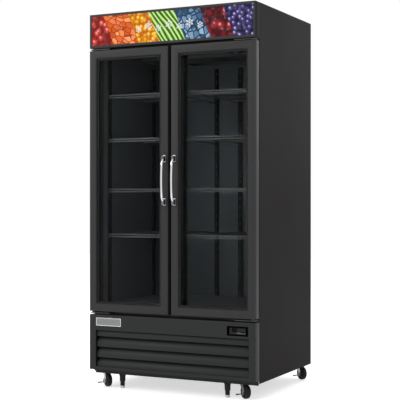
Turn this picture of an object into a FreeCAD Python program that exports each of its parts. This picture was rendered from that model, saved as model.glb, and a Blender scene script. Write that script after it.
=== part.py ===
"""Upright merchandiser freezer with two glass doors, a lit sign box, casters and levelling legs.

Millimetres. X runs from the left side to the right side, Y from the doors to the back, Z up from the
floor. The origin is the middle of the footprint, handles included. Every size is a cell of the sheet
"Sizes", the levels and planes that several pieces share are properties of "Layout", and each piece
is bound to both by expressions.
"""
import FreeCAD, Part
import os
import re
import Sketcher

from FreeCAD import Placement, Rotation, Vector

SIZES = {
    "cabinet": {
        "width": 1000, "height": 2068, "depth": 820,
        "front_layer": 50,      # doors, sign box and lower panel stand this far off the case
        "wall": 55,             # outer skin to liner
        "skin": 1.2, "liner": 1.0,
        "side_bottom": 86,      # lower edge of the side panels
        "panel_bottom": 103, "panel_top": 407,
        "canopy_height": 187,
        "top_gap": 14,          # between door and sign box, holds the upper hinge brackets
        "bottom_gap": 19,       # between lower panel and door, holds the lower ones
        "floor_wall": 55,       # insulated floor
        "face_thick": 12, "mullion_width": 90, "mullion_depth": 62, "head_cover": 27,
        "back_inset": 2,
    },
    "base": {
        "base_rise": 25,        # top of the wheels to the floor sheet
        "skirt_rise": 1.5,      # top of the wheels to the skirt, which they swivel under
        "base_sheet": 2.5, "skirt_inset": 5.5,
        "skirt_setback": 4, "leg_box": 56, "leg_box_depth": 36,
    },
    "doors": {
        "door_gap": 20, "door_thick": 44, "door_rail": 40, "door_round": 2.5,
        "gasket_inset": 19, "gasket_width": 14, "seat_gap": 0.3,
        "glass_setback": 5, "pane": 4, "pane_space": 12, "glass_bite": 8, "glass_fit": 0.5,
        "spacer_width": 22,
        "pin_inset": 18, "pin_setback": 15, "pin_radius": 5, "pin_play": 0.05, "pin_length": 20,
        "collar_radius": 9,
        "bracket_thick": 5, "bracket_length": 120, "bracket_inset": 4, "bracket_setback": 6,
        "flange_start": 45, "flange_thick": 3, "flange_height": 18,
    },
    "handle": {
        "handle_reach": 40, "handle_inset": 20, "handle_length": 268, "grip_length": 196,
        "handle_width": 15, "post_reach": 25, "post_height": 32, "grip_thick": 9, "grip_bow": 6,
        "handle_round": 3.5,
    },
    "canopy": {
        "canopy_sheet": 1.5, "bezel_side": 12.5, "bezel_top": 13, "bezel_bottom": 14,
        "sign_thick": 3, "sign_edge": 4, "lamp_height": 18, "lamp_depth": 14, "lamp_end": 60,
        "mullion_lamp": 16, "mullion_lamp_end": 60, "mullion_lamp_depth": 8,
    },
    "lower_panel": {
        "panel_sheet": 1.5, "louvre_side": 38, "louvre_top": 322, "louvre_bottom": 120,
        "slat_pitch": 58, "slat_height": 42, "slat_first": 286, "slat_front": 12, "slat_back": 27,
        "slat_corner": 22, "slat_corner_drop": 14, "jamb_depth": 32, "return_depth": 30,
        "plate_side": 42, "plate_width": 158, "plate_height": 44, "plate_bottom": 347,
        "plate_thick": 1.2, "plate_round": 3,
    },
    "controller": {
        "bezel_right": 42, "bezel_width": 119, "bezel_height": 50, "bezel_level": 335.5,
        "bezel_proud": 1.5, "bezel_lap": 4, "body_depth": 45, "face_width": 98,
        "face_height": 38, "face_setback": 4, "key_wide": 12, "key_tall": 8, "key_depth": 4,
        "key_proud": 1.2, "key_play": 0.2, "key_travel": 0.8,
    },
    "shelves": {
        "standard_width": 25, "standard_depth": 12, "standard_sheet": 1.5,
        "slot_width": 5, "slot_height": 14, "slot_pitch": 50,
        "standard_setback": 40,     # face frame to the front uprights
        "back_upright": 20,         # middle post to the uprights of the back wall
        "shelf_setback": 20, "shelf_back_gap": 93, "shelf_side": 5,
        "bar_thick": 5.5, "wire_radius": 1.8, "wire_sink": 0.6, "wire_pitch": 24, "rail_drop": 13,
        "first_shelf_drop": 210, "shelf_gap_1": 244, "shelf_gap_2": 280, "shelf_gap_3": 250,
        "clip_reach": 20, "clip_thick": 4, "clip_height": 26,
    },
    "casters": {
        "front_caster_shift": -26,      # the front casters sit this far off the middle
        "front_caster_inset": 80, "front_caster_setback": 87,
        "rear_caster_inset": 55.4, "rear_caster_setback": 40,    # from the back
        "caster_turn": -35,     # swivel angle at rest
        "caster_plate": 60, "plate_sheet": 3, "race_radius": 22, "race_drop": 11,
        "kingpin_radius": 5, "kingpin_head": 8, "kingpin_drop": 18.5, "running_play": 0.05,
        "swivel_play": 0.5, "fork_sheet": 3.5, "fork_side": 3, "fork_gap": 28,
        "trail": 24, "wheel_radius": 37.5, "wheel_width": 25, "hub_width": 27, "hub_radius": 12,
        "tread_round": 7, "rim_radius": 27, "rim_recess": 3, "axle_radius": 4,
        "axle_head": 5.7, "axle_head_thick": 4, "boss_radius": 9,
        "lever_drop": 11.5, "lever_reach": 34, "lever_width": 12, "lever_thick": 3,
        "pedal_width": 18, "pedal_start": 10,
        "lever_barrel": 3.5, "lever_pin": 1.6, "lever_offset": 23.5, "lug_thick": 2,
    },
    "legs": {
        "leg_shift": -10,       # the legs sit this far off the middle
        "leg_inset": 180, "leg_setback": 70, "leg_flare": 20, "leg_radius": 16.5,
        "leg_waist": 12.5, "flare_height": 10, "waist_level": 38, "leg_end": 13.5,
        "foot_radius": 12.5, "foot_height": 13, "foot_stem": 6, "foot_stem_top": 60,
    },
    "cold_side": {
        "evap_side": 30, "evap_depth": 330, "evap_height": 160, "evap_sheet": 1.5,
        "evap_fan_spread": 200, "evap_ring": 78, "evap_blade_tip": 72,
        "coil_side": 60, "coil_depth": 110, "coil_drop": 140, "coil_back": 20,
        "fin_pitch": 16, "fin_slot": 6, "fin_cut": 8,
        "motor_radius": 32, "motor_length": 50, "shaft_radius": 4, "shaft_length": 34,
        "hub_length": 24, "blade_hub": 18, "blade_chord": 40, "blade_sheet": 2, "arm_width": 24,
        "fan_stand": 26,
    },
    "machine_side": {
        "coil_left": 60, "coil_right": 60, "coil_setback": 80, "block_depth": 60,
        "block_bottom": 110, "block_top": 366, "shroud_depth": 40, "shroud_sheet": 2,
        "condenser_ring": 112, "condenser_tip": 106, "condenser_fan_x": 190,
        "condenser_fan_level": 238,
        "pot_x": 190, "pot_y": 520, "pot_radius": 82, "pot_height": 178, "pot_feet": 14,
        "pot_base": 190, "stub_radius": 7, "stub_reach": 10, "discharge_level": 120,
        "pan_x": -400, "pan_back": 60, "pan_width": 260, "pan_depth": 200, "pan_height": 60,
        "box_right": 60, "box_width": 140, "box_depth": 130, "box_height": 150, "box_back": 40,
        "gland_radius": 12, "gland_bore": 4, "gland_level": 190,
        "tube_radius": 5, "tube_bend": 30, "riser_back": 28, "riser_x": 60, "sleeve_play": 3,
        "vent_width": 260, "vent_height": 8, "vent_pitch": 24, "vent_first": 180,
    },
    "screws": {
        "screw_head": 4.5, "screw_thick": 1.8, "bolt_spread": 22, "bolt_thick": 3,
    },
}

LAYOUT = {
    "half": "width / 2",
    "front": "(handle_reach - depth) / 2",
    "back": "front + depth",
    "case_front": "front + front_layer",
    "face_back": "case_front + face_thick",
    "door_back": "front + door_thick",
    "inner_half": "half - wall",
    "inner_back": "back - wall",
    "cabinet_floor": "panel_top + 3",
    "inner_floor": "cabinet_floor + floor_wall",
    "inner_top": "height - wall",
    "canopy_bottom": "height - canopy_height",
    "door_top": "canopy_bottom - top_gap",
    "door_bottom": "panel_top + bottom_gap",
    "door_middle": "(door_top + door_bottom) / 2",
    "opening_top": "door_top - head_cover",
    "mullion_half": "mullion_width / 2",
    "mullion_back": "case_front + mullion_depth",
    "glass_front": "front + glass_setback",
    "glass_back": "glass_front + 2 * pane + pane_space",
    "pin_x": "pin_inset - half",
    "pin_y": "front + pin_setback",
    "handle_x": "-(door_gap / 2 + handle_inset)",
    "back_skin": "back - back_inset - skin",
    "base_level": "2 * wheel_radius + base_rise",
    "base_top": "base_level + base_sheet",
    "skirt_bottom": "2 * wheel_radius + skirt_rise",
    "race_bottom": "base_level - race_drop",
    "kingpin_end": "base_level - kingpin_drop",
    "fork_top": "race_bottom - swivel_play",
    "lever_level": "wheel_radius - lever_drop",
    "standard_front": "face_back + standard_setback",
    "shelf_front": "standard_front - shelf_setback",
    "shelf_depth": "inner_back - shelf_back_gap - shelf_front",
    "standard_rear": "shelf_front + shelf_depth - 2 * standard_width",
    "shelf_left": "standard_depth + shelf_side - inner_half",
    "shelf_right": "-(mullion_half + standard_depth + shelf_side)",
    "shelf_width": "shelf_right - shelf_left",
    "bar_top": "wire_sink - 2 * wire_radius",
    "bar_bottom": "bar_top - bar_thick",
    "shelf_1": "opening_top - first_shelf_drop",
    "shelf_2": "shelf_1 - shelf_gap_1",
    "shelf_3": "shelf_2 - shelf_gap_2",
    "shelf_4": "shelf_3 - shelf_gap_3",
    "bezel_left": "half - bezel_right - bezel_width",
    "face_left": "bezel_left + (bezel_width - face_width) / 2",
    "face_bottom": "bezel_level + (bezel_height - face_height) / 2",
    "face_plane": "front + face_setback",
    "evap_front": "inner_back - evap_depth",
    "evap_bottom": "inner_top - evap_height",
    "evap_fan_level": "inner_top - evap_height / 2",
    "evap_fan_plane": "evap_front + fan_stand",
    "block_front": "front + coil_setback",
    "block_back": "block_front + block_depth",
    "shroud_back": "block_back + shroud_depth",
    "riser_y": "inner_back + riser_back",
    "wheel_half": "wheel_width / 2",
    "fork_half": "fork_gap / 2",
    "fork_outer": "fork_half + fork_side",
}

SHELF_LEVELS = ("shelf_1", "shelf_2", "shelf_3", "shelf_4")
SIDES = {"left": -1, "right": 1}
CASTERS = {
    "front_left": ("front_caster_inset - half + front_caster_shift", "front + front_caster_setback"),
    "front_right": ("half - front_caster_inset + front_caster_shift", "front + front_caster_setback"),
    "rear_left": ("rear_caster_inset - half", "back - rear_caster_setback"),
    "rear_right": ("half - rear_caster_inset", "back - rear_caster_setback"),
}

doc = FreeCAD.newDocument("merchandiser_freezer")
nodes = []


# --- the sheet, the layout and how pieces are bound to them ---------------------------------------

def write_sheet():
    sheet = doc.addObject("Spreadsheet::Sheet", "Sizes")
    row = 1
    for group, cells in SIZES.items():
        sheet.set("A%d" % row, group)
        row += 1
        for alias, number in cells.items():
            sheet.set("A%d" % row, alias)
            sheet.set("B%d" % row, str(number))
            sheet.setAlias("B%d" % row, alias)
            row += 1
    doc.recompute()
    return sheet


def write_layout():
    layout = doc.addObject("App::VarSet", "Layout")
    for name, text in LAYOUT.items():
        layout.addProperty("App::PropertyFloat", name, "Layout", "")
        layout.setExpression(name, bound(text))
    doc.recompute()
    return layout


CELLS = {alias for cells in SIZES.values() for alias in cells}


def bound(text):
    """The expression with each word led by the object that holds it."""
    def lead(word):
        name = word.group(0)
        if name in CELLS:
            return "Sizes." + name
        if name in LAYOUT:
            return "Layout." + name
        return name
    return re.sub(r"[a-z_][a-z_0-9]*", lead, str(text))


def value(text):
    return float(sheet.evalExpression(bound(text)))


def bind(item, **properties):
    for name, text in properties.items():
        item.setExpression(name.replace("__", "."), bound(text))
    return item


def place(item, x=0, y=0, z=0):
    for axis, text in zip("xyz", (x, y, z)):
        item.setExpression("Placement.Base." + axis, bound(text))
    return item


def node(name, item):
    """Marks a finished sub-part. Its label names its file."""
    item.Label = name
    nodes.append(item)
    return item


# --- primitives, booleans and copies ---------------------------------------------------------------

def block(name, x, y, z):
    """A box from three (low, high) pairs."""
    item = doc.addObject("Part::Box", name)
    bind(item, Length="(%s) - (%s)" % (x[1], x[0]), Width="(%s) - (%s)" % (y[1], y[0]),
         Height="(%s) - (%s)" % (z[1], z[0]))
    return place(item, x[0], y[0], z[0])


AXIS_TURN = {"x": Rotation(Vector(0, 1, 0), 90), "y": Rotation(Vector(1, 0, 0), -90),
             "z": Rotation()}


def rod(name, axis, start, radius, length):
    """A cylinder from its start point along +X, +Y or +Z."""
    item = doc.addObject("Part::Cylinder", name)
    item.Placement = Placement(Vector(), AXIS_TURN[axis])
    bind(item, Radius=radius, Height=length)
    return place(item, *start)


def fuse(name, *pieces):
    item = doc.addObject("Part::MultiFuse", name)
    item.Shapes = list(pieces)
    return item


def cut(name, base, *tools):
    item = doc.addObject("Part::Cut", name)
    item.Base = base
    item.Tool = tools[0] if len(tools) == 1 else fuse(name + "_tools", *tools)
    return item


def group(name, *pieces):
    """Separate solids in one sub-part."""
    item = doc.addObject("Part::Compound", name)
    item.Links = list(pieces)
    return item


def copy(name, source, x=0, y=0, z=0, turn=0):
    item = doc.addObject("App::Link", name)
    item.LinkedObject = source
    item.LinkTransform = False
    item.Placement = Placement(Vector(), Rotation(Vector(0, 0, 1), turn))
    return place(item, x, y, z)


def mirror(name, source):
    """The same piece on the other side of the middle."""
    item = doc.addObject("Part::Mirroring", name)
    item.Source = source
    item.Normal = (1, 0, 0)
    return item


# --- sketched bodies -------------------------------------------------------------------------------

def new_body(name):
    return doc.addObject("PartDesign::Body", name)


def sketch(body, plane, at, *loops):
    """A sketch on a plane of the body, moved along its normal. A loop is a list of corners."""
    name = "%s_sketch_%d" % (body.Name, len(body.Group))
    item = body.newObject("Sketcher::SketchObject", name)
    role = plane + "_Plane"
    base = [feature for feature in body.Origin.OriginFeatures if feature.Role == role][0]
    item.AttachmentSupport = (base, [""])
    item.MapMode = "FlatFace"
    item.setExpression("AttachmentOffset.Base.z", bound(at))
    for corners in loops:
        add_loop(item, corners)
    return item


def add_loop(item, corners):
    first = item.GeometryCount
    points = [Vector(value(x), value(y), 0) for x, y in corners]
    count = len(points)
    for i in range(count):
        item.addGeometry(Part.LineSegment(points[i], points[(i + 1) % count]))
    for i in range(count):
        item.addConstraint(Sketcher.Constraint("Coincident", first + i, 2,
                                               first + (i + 1) % count, 1))
    for i in range(count):
        for kind, text, number in (("DistanceX", corners[i][0], points[i].x),
                                   ("DistanceY", corners[i][1], points[i].y)):
            index = item.addConstraint(Sketcher.Constraint(kind, -1, 1, first + i, 1, number))
            item.setExpression("Constraints[%d]" % index, bound(text))


def add_circle(item, x, y, radius):
    centre = Vector(value(x), value(y), 0)
    index = item.addGeometry(Part.Circle(centre, Vector(0, 0, 1), value(radius)))
    for kind, text, number in (("DistanceX", x, centre.x), ("DistanceY", y, centre.y)):
        spot = item.addConstraint(Sketcher.Constraint(kind, -1, 1, index, 3, number))
        item.setExpression("Constraints[%d]" % spot, bound(text))
    spot = item.addConstraint(Sketcher.Constraint("Radius", index, value(radius)))
    item.setExpression("Constraints[%d]" % spot, bound(radius))


def corners_of(x0, y0, x1, y1):
    return [(x0, y0), (x1, y0), (x1, y1), (x0, y1)]


def pad(body, profile, length, reverse=False, middle=False):
    item = body.newObject("PartDesign::Pad", "%s_pad_%d" % (body.Name, len(body.Group)))
    item.Profile = profile
    item.Reversed = reverse
    item.Midplane = middle
    bind(item, Length=length)
    return item


def pocket(body, profile, length, reverse=False):
    item = body.newObject("PartDesign::Pocket", "%s_cut_%d" % (body.Name, len(body.Group)))
    item.Profile = profile
    item.Reversed = reverse
    bind(item, Length=length)
    return item


def revolve(body, profile, axis="V_Axis"):
    item = body.newObject("PartDesign::Revolution", "%s_turn_%d" % (body.Name, len(body.Group)))
    item.Profile = profile
    item.ReferenceAxis = (profile, [axis])
    item.Angle = 360
    return item


def row_of(body, feature, profile, axis, count, pitch):
    """Repeats a feature `count` times, `pitch` apart, along an axis of its sketch."""
    item = body.newObject("PartDesign::LinearPattern", "%s_row" % body.Name)
    item.Originals = [feature]
    item.Direction = (profile, [axis])
    item.Occurrences = count
    bind(item, Length="(%s) * %d" % (pitch, count - 1))
    body.Tip = item
    return item


def soften(body, feature, radius, chosen):
    """Rounds the edges for which chosen(edge) holds."""
    doc.recompute()
    names = ["Edge%d" % (i + 1) for i, edge in enumerate(feature.Shape.Edges) if chosen(edge)]
    item = body.newObject("PartDesign::Fillet", "%s_round" % body.Name)
    item.Base = (feature, names)
    bind(item, Radius=radius)
    body.Tip = item
    return item


def along(axis, edge):
    """Whether a straight edge runs along X, Y or Z."""
    ends = [vertex.Point for vertex in edge.Vertexes]
    if len(ends) < 2 or edge.Curve.TypeId != "Part::GeomLine":
        return False
    step = ends[1] - ends[0]
    return abs(getattr(step, axis)) > 0.999 * step.Length


# --- casing ------------------------------------------------------------------------------------------

def outer_case():
    """Folded sheet: two sides and the top, with the sheet under the insulated floor."""
    shell = cut("case_wrap",
                block("case_outer", ("-half", "half"), ("case_front", "back"),
                      ("side_bottom", "height")),
                block("case_hollow", ("skin - half", "half - skin"),
                      ("case_front - 1", "back + 1"), ("side_bottom - 1", "height - skin")))
    floor = block("case_floor", ("skin / 2 - half", "half - skin / 2"), ("face_back", "back_skin"),
                  ("cabinet_floor", "cabinet_floor + skin"))
    hole = rod("case_floor_hole", "z", ("riser_x", "riser_y", "cabinet_floor - 1"),
               "tube_radius + sleeve_play", "skin + 2")
    node("outer_case", fuse("outer_case", shell, cut("case_floor_holed", floor, hole)))


def back_panel():
    """The back sheet, with vents into the machine compartment."""
    body = new_body("back_sheet")
    outline = sketch(body, "XZ", "-back_skin",
                     corners_of("skin - half", "side_bottom", "half - skin", "height - skin"))
    pad(body, outline, "skin", reverse=True)
    slot = sketch(body, "XZ", "-back_skin",
                  corners_of("-vent_width / 2", "vent_first", "vent_width / 2",
                             "vent_first + vent_height"))
    opening = pocket(body, slot, "skin + 1")
    row_of(body, opening, slot, "V_Axis", 7, "vent_pitch")
    gland = rod("back_panel_hole", "y", ("half - box_right - box_width / 2", "back_skin - 1",
                                         "gland_level"), "gland_radius", "skin + 2")
    node("back_panel", cut("back_panel", body, gland))


def inner_liner():
    shell = cut("liner_shell",
                block("liner_outer", ("-inner_half - liner", "inner_half + liner"),
                      ("face_back", "inner_back + liner"),
                      ("inner_floor - liner", "inner_top + liner")),
                block("liner_hollow", ("-inner_half", "inner_half"), ("face_back - 1", "inner_back"),
                      ("inner_floor", "inner_top")),
                rod("liner_hole", "y", ("riser_x", "inner_back - 1", "evap_fan_level"),
                    "tube_radius + sleeve_play", "liner + 2"))
    node("inner_liner", shell)


def foam_insulation():
    """Poured foam between skin and liner, with the channel of the refrigerant riser."""
    channel = "(tube_radius + sleeve_play)"
    filling = cut("foam_insulation",
                  block("foam_outer", ("skin - half", "half - skin"), ("face_back", "back_skin"),
                        ("cabinet_floor + skin", "height - skin")),
                  block("foam_hollow", ("-inner_half - liner", "inner_half + liner"),
                        ("face_back - 1", "inner_back + liner"),
                        ("inner_floor - liner", "inner_top + liner")),
                  rod("foam_riser", "z", ("riser_x", "riser_y", "cabinet_floor"), channel,
                      "evap_fan_level - cabinet_floor"),
                  block("foam_elbow", ("riser_x - " + channel, "riser_x + " + channel),
                        ("inner_back", "riser_y + " + channel),
                        ("evap_fan_level - tube_bend - 2 * tube_radius",
                         "evap_fan_level + " + channel)))
    node("foam_insulation", filling)


def face_frame():
    """Breaker frame round the two door openings. The middle post carries the inner uprights."""
    plate = block("face_plate", ("skin - half", "half - skin"), ("case_front", "face_back"),
                  ("cabinet_floor + skin", "height - skin"))
    bays = [block("face_bay_%d" % i, x, ("case_front - 1", "face_back + 1"),
                  ("inner_floor", "opening_top"))
            for i, x in enumerate((("-inner_half", "-mullion_half"),
                                   ("mullion_half", "inner_half")))]
    post = block("face_post", ("-mullion_half", "mullion_half"), ("case_front", "mullion_back"),
                 ("inner_floor", "opening_top"))
    node("face_frame", fuse("face_frame", cut("face_ring", plate, *bays), post))


def base_frame():
    """Floor sheet of the machine compartment, front skirt, rear flange and two leg boxes."""
    depth_low = "case_front + skirt_setback"
    floor = block("base_floor", ("skin - half", "half - skin"), (depth_low, "back_skin"),
                  ("base_level", "base_top"))
    skirt = block("base_skirt", ("skirt_inset - half", "half - skirt_inset"),
                  (depth_low, depth_low + " + base_sheet"), ("skirt_bottom", "base_top"))
    rear = block("base_rear", ("skin - half", "half - skin"), ("back_skin - base_sheet", "back_skin"),
                 ("side_bottom", "base_top"))
    legs = [block("base_leg_%s" % side, (x + " - leg_box / 2", x + " + leg_box / 2"),
                  (depth_low, depth_low + " + leg_box_depth"), ("skirt_bottom", "base_top"))
            for side, x in leg_places().items()]
    node("base_frame", fuse("base_frame", floor, skirt, rear, *legs))


def leg_places():
    return {"left": "(leg_inset - half + leg_shift)", "right": "(half - leg_inset + leg_shift)"}


# --- lower panel, badge and controller ---------------------------------------------------------------

def lower_grille():
    """Front panel of the machine compartment: folded sheet with four set-back slats."""
    low = ("panel_bottom", "panel_top")
    sides = ("-half", "half")
    opening = ("louvre_side - half", "half - louvre_side")
    face = cut("grille_face",
               block("grille_sheet", sides, ("front", "front + panel_sheet"), low),
               block("grille_window", opening, ("front - 1", "front + panel_sheet + 1"),
                     ("louvre_bottom", "louvre_top")),
               block("grille_port", ("bezel_left + bezel_lap", "bezel_left + bezel_width - bezel_lap"),
                     ("front - 1", "front + panel_sheet + 1"),
                     ("bezel_level + bezel_lap", "bezel_level + bezel_height - bezel_lap")))
    folds = [
        block("grille_side_left", ("-half", "panel_sheet - half"), ("front", "case_front"), low),
        block("grille_side_right", ("half - panel_sheet", "half"), ("front", "case_front"), low),
        block("grille_top", sides, ("front", "case_front"), ("panel_top - panel_sheet", "panel_top")),
        block("grille_bottom", sides, ("front", "front + return_depth"),
              ("panel_bottom", "panel_bottom + panel_sheet")),
        block("grille_jamb_left", ("louvre_side - half - panel_sheet", "louvre_side - half"),
              ("front", "front + jamb_depth"), ("louvre_bottom", "louvre_top")),
        block("grille_jamb_right", ("half - louvre_side", "half - louvre_side + panel_sheet"),
              ("front", "front + jamb_depth"), ("louvre_bottom", "louvre_top")),
    ]
    slats = [grille_slat(i) for i in range(4)]
    node("lower_grille", fuse("lower_grille", face, *folds, *slats))


def grille_slat(i):
    """A leaning strip, its lower edge forward, with clipped upper corners."""
    low = "slat_first - slat_pitch * %d" % i
    top = low + " + slat_height + 4"
    near = "front + slat_front"
    far = "front + slat_back"
    body = new_body("slat_%d" % i)
    section = sketch(body, "YZ", "louvre_side - half", [
        (near, low), (near + " + panel_sheet", low + " - 2"), (far + " + panel_sheet", top),
        (far, top)])
    pad(body, section, "width - 2 * louvre_side")
    clips = []
    for side, edge, run in (("left", "louvre_side - half", "slat_corner"),
                            ("right", "half - louvre_side", "-slat_corner")):
        clip = new_body("slat_%d_clip_%s" % (i, side))
        corner = sketch(clip, "XZ", "-(front + slat_front)", [
            (edge, top + " - slat_corner_drop"), (edge + " + " + run, top + " + 1"),
            (edge, top + " + 1")])
        pad(clip, corner, "slat_back", reverse=True)
        clips.append(clip)
    return cut("slat_%d_cut" % i, body, *clips)


def name_plate():
    """A bare badge plate."""
    body = new_body("name_plate")
    left = "plate_side - half"
    outline = sketch(body, "XZ", "-front",
                     corners_of(left, "plate_bottom", left + " + plate_width",
                                "plate_bottom + plate_height"))
    plate = pad(body, outline, "plate_thick")
    soften(body, plate, "plate_round", lambda edge: along("y", edge))
    node("name_plate", body)


def key_places():
    """Left and bottom of each key on the controller's face, and its width."""
    column = "face_left + 3"
    row = "face_bottom + 3"
    return {
        "up": (column, row + " + 2 * (key_tall + 3)", "key_wide"),
        "down": (column, row + " + key_tall + 3", "key_wide"),
        "set": (column, row, "key_wide"),
        "defrost": ("face_left + 6 + key_wide", row, "key_wide * 2"),
    }


def controller_housing():
    """Bezel and body of the temperature controller, with a set-back face and wells for the keys."""
    right = "bezel_left + bezel_width"
    top = "bezel_level + bezel_height"
    bezel = block("bezel", ("bezel_left", right), ("front - bezel_proud", "front"),
                  ("bezel_level", top))
    trunk = block("controller_body", ("bezel_left + bezel_lap", right + " - bezel_lap"),
                  ("front", "front + body_depth"), ("bezel_level + bezel_lap", top + " - bezel_lap"))
    recess = block("controller_recess", ("face_left", "face_left + face_width"),
                   ("front - bezel_proud - 1", "face_plane"),
                   ("face_bottom", "face_bottom + face_height"))
    wells = [block("well_" + name, (x + " - key_play", x + " + key_play + " + wide),
                   ("face_plane - 1", "face_plane + key_depth - key_proud + key_travel + key_play"),
                   (z + " - key_play", z + " + key_play + key_tall"))
             for name, (x, z, wide) in key_places().items()]
    node("controller_housing",
         cut("controller_housing", fuse("controller_solid", bezel, trunk), recess, *wells))


def controller_keys():
    for name, (x, z, wide) in key_places().items():
        key = block("key_" + name, (x, x + " + " + wide),
                    ("face_plane - key_proud", "face_plane - key_proud + key_depth"),
                    (z, z + " + key_tall"))
        node("key_" + name, key)


# --- sign box and lamps -------------------------------------------------------------------------------

def lightbox_housing():
    """Folded sign box, open at the back, with a window in its face."""
    body = new_body("lightbox")
    outline = sketch(body, "XZ", "-front", corners_of("-half", "canopy_bottom", "half", "height"))
    solid = pad(body, outline, "front_layer", reverse=True)
    rounded = soften(body, solid, "door_round", lambda edge: along("z", edge)
                     and edge.BoundBox.YMin < value("front") + 1)
    rounded.Label = "lightbox_corners"
    hollow = sketch(body, "XZ", "-case_front",
                    corners_of("canopy_sheet - half", "canopy_bottom + canopy_sheet",
                               "half - canopy_sheet", "height - canopy_sheet"))
    pocket(body, hollow, "front_layer - canopy_sheet", reverse=True)
    window = block("lightbox_window", ("bezel_side - half", "half - bezel_side"),
                   ("front - 1", "front + canopy_sheet + 1"),
                   ("canopy_bottom + bezel_bottom", "height - bezel_top"))
    node("lightbox_housing", cut("lightbox_housing", body, window))


def sign_panel():
    panel = block("sign_panel", ("sign_edge - half", "half - sign_edge"),
                  ("front + canopy_sheet", "front + canopy_sheet + sign_thick"),
                  ("canopy_bottom + sign_edge", "height - sign_edge"))
    node("sign_panel", panel)


def led_lamps():
    """The sign's lamp on the case front, and the interior lamp down the back of the middle post."""
    middle = "canopy_bottom + canopy_height / 2"
    sign = block("sign_lamp", ("lamp_end - half", "half - lamp_end"),
                 ("case_front - lamp_depth", "case_front"),
                 (middle + " - lamp_height / 2", middle + " + lamp_height / 2"))
    post = block("post_lamp", ("-mullion_lamp / 2", "mullion_lamp / 2"),
                 ("mullion_back", "mullion_back + mullion_lamp_depth"),
                 ("inner_floor + mullion_lamp_end", "opening_top - mullion_lamp_end"))
    node("led_lamps", group("led_lamps", sign, post))


# --- doors ----------------------------------------------------------------------------------------------

def left_door():
    """The left door's pieces. The right door's are their mirror images."""
    return {
        "door_frame": door_frame(),
        "door_glass": door_glass(),
        "glass_spacer": glass_spacer(),
        "door_gasket": door_gasket(),
        "door_handle": door_handle(),
    }


def doors():
    for name, piece in left_door().items():
        node("left_" + name, piece)
        node("right_" + name, mirror("right_" + name, piece))


def ring(name, x, y, z, margin):
    """A rectangular ring: a box less the same box drawn in by the margin along X and Z."""
    outer = block(name + "_outer", x, y, z)
    inner = block(name + "_inner", (x[0] + " + " + margin, x[1] + " - " + margin),
                  (y[0] + " - 1", y[1] + " + 1"), (z[0] + " + " + margin, z[1] + " - " + margin))
    return cut(name, outer, inner)


def door_frame():
    """Four mitred sections as one frame, with the groove of the glass and the hinge bores."""
    left = "-half"
    right = "-door_gap / 2"
    body = new_body("frame_section")
    outline = sketch(body, "XZ", "-front", corners_of(left, "door_bottom", right, "door_top"),
                     corners_of(left + " + door_rail", "door_bottom + door_rail",
                                right + " - door_rail", "door_top - door_rail"))
    solid = pad(body, outline, "door_thick", reverse=True)
    face = value("front")
    soften(body, solid, "door_round",
           lambda edge: edge.BoundBox.YMax < face + 0.01)
    bite = "door_rail - glass_bite - glass_fit"
    groove = block("glass_groove", (left + " + " + bite, right + " - (" + bite + ")"),
                   ("glass_front", "glass_back"),
                   ("door_bottom + " + bite, "door_top - (" + bite + ")"))
    bores = [rod("pin_bore_low", "z", ("pin_x", "pin_y", "door_bottom - 1"),
                 "pin_radius + pin_play", "pin_length + 2"),
             rod("pin_bore_high", "z", ("pin_x", "pin_y", "door_top - pin_length - 1"),
                 "pin_radius + pin_play", "pin_length + 2")]
    return cut("left_door_frame", body, groove, *bores)


def glass_edges():
    reach = "door_rail - glass_bite"
    return (("-half + " + reach, "-door_gap / 2 - (" + reach + ")"),
            ("door_bottom + " + reach, "door_top - (" + reach + ")"))


def door_glass():
    """The two panes of the sealed unit."""
    x, z = glass_edges()
    outer = block("outer_pane", x, ("glass_front", "glass_front + pane"), z)
    inner = block("inner_pane", x, ("glass_back - pane", "glass_back"), z)
    return group("left_door_glass", outer, inner)


def glass_spacer():
    x, z = glass_edges()
    return ring("left_glass_spacer", x, ("glass_front + pane", "glass_back - pane"), z,
                "spacer_width")


def door_gasket():
    return ring("left_door_gasket",
                ("gasket_inset - half", "-door_gap / 2 - gasket_inset"),
                ("door_back", "case_front - seat_gap"),
                ("door_bottom + gasket_inset", "door_top - gasket_inset"), "gasket_width")


def door_handle():
    """One casting: two posts on the stile and a bowed grip between them."""
    end = "handle_length / 2"
    grip = "grip_length / 2"
    foot = end + " - post_height"
    out = "front - post_reach"
    near = "front - handle_reach + grip_bow"
    body = new_body("left_handle")
    profile = sketch(body, "YZ", "handle_x", [
        ("front", "door_middle + " + end), (out, "door_middle + " + end),
        (out, "door_middle + " + foot + " + 6"), (near, "door_middle + " + grip),
        ("front - handle_reach", "door_middle + " + grip + " / 3"),
        ("front - handle_reach", "door_middle - " + grip + " / 3"),
        (near, "door_middle - " + grip), (out, "door_middle - (" + foot + ") - 6"),
        (out, "door_middle - (" + end + ")"), ("front", "door_middle - (" + end + ")"),
        ("front", "door_middle - (" + foot + ")"),
        (near + " + grip_thick", "door_middle - " + grip + " + 8"),
        ("front - handle_reach + grip_thick", "door_middle - " + grip + " / 3"),
        ("front - handle_reach + grip_thick", "door_middle + " + grip + " / 3"),
        (near + " + grip_thick", "door_middle + " + grip + " - 8"),
        ("front", "door_middle + " + foot)])
    solid = pad(body, profile, "handle_width", middle=True)
    plane = value("front")
    soften(body, solid, "handle_round",
           lambda edge: not along("x", edge) and edge.BoundBox.YMin < plane - 0.01)
    return body


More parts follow.
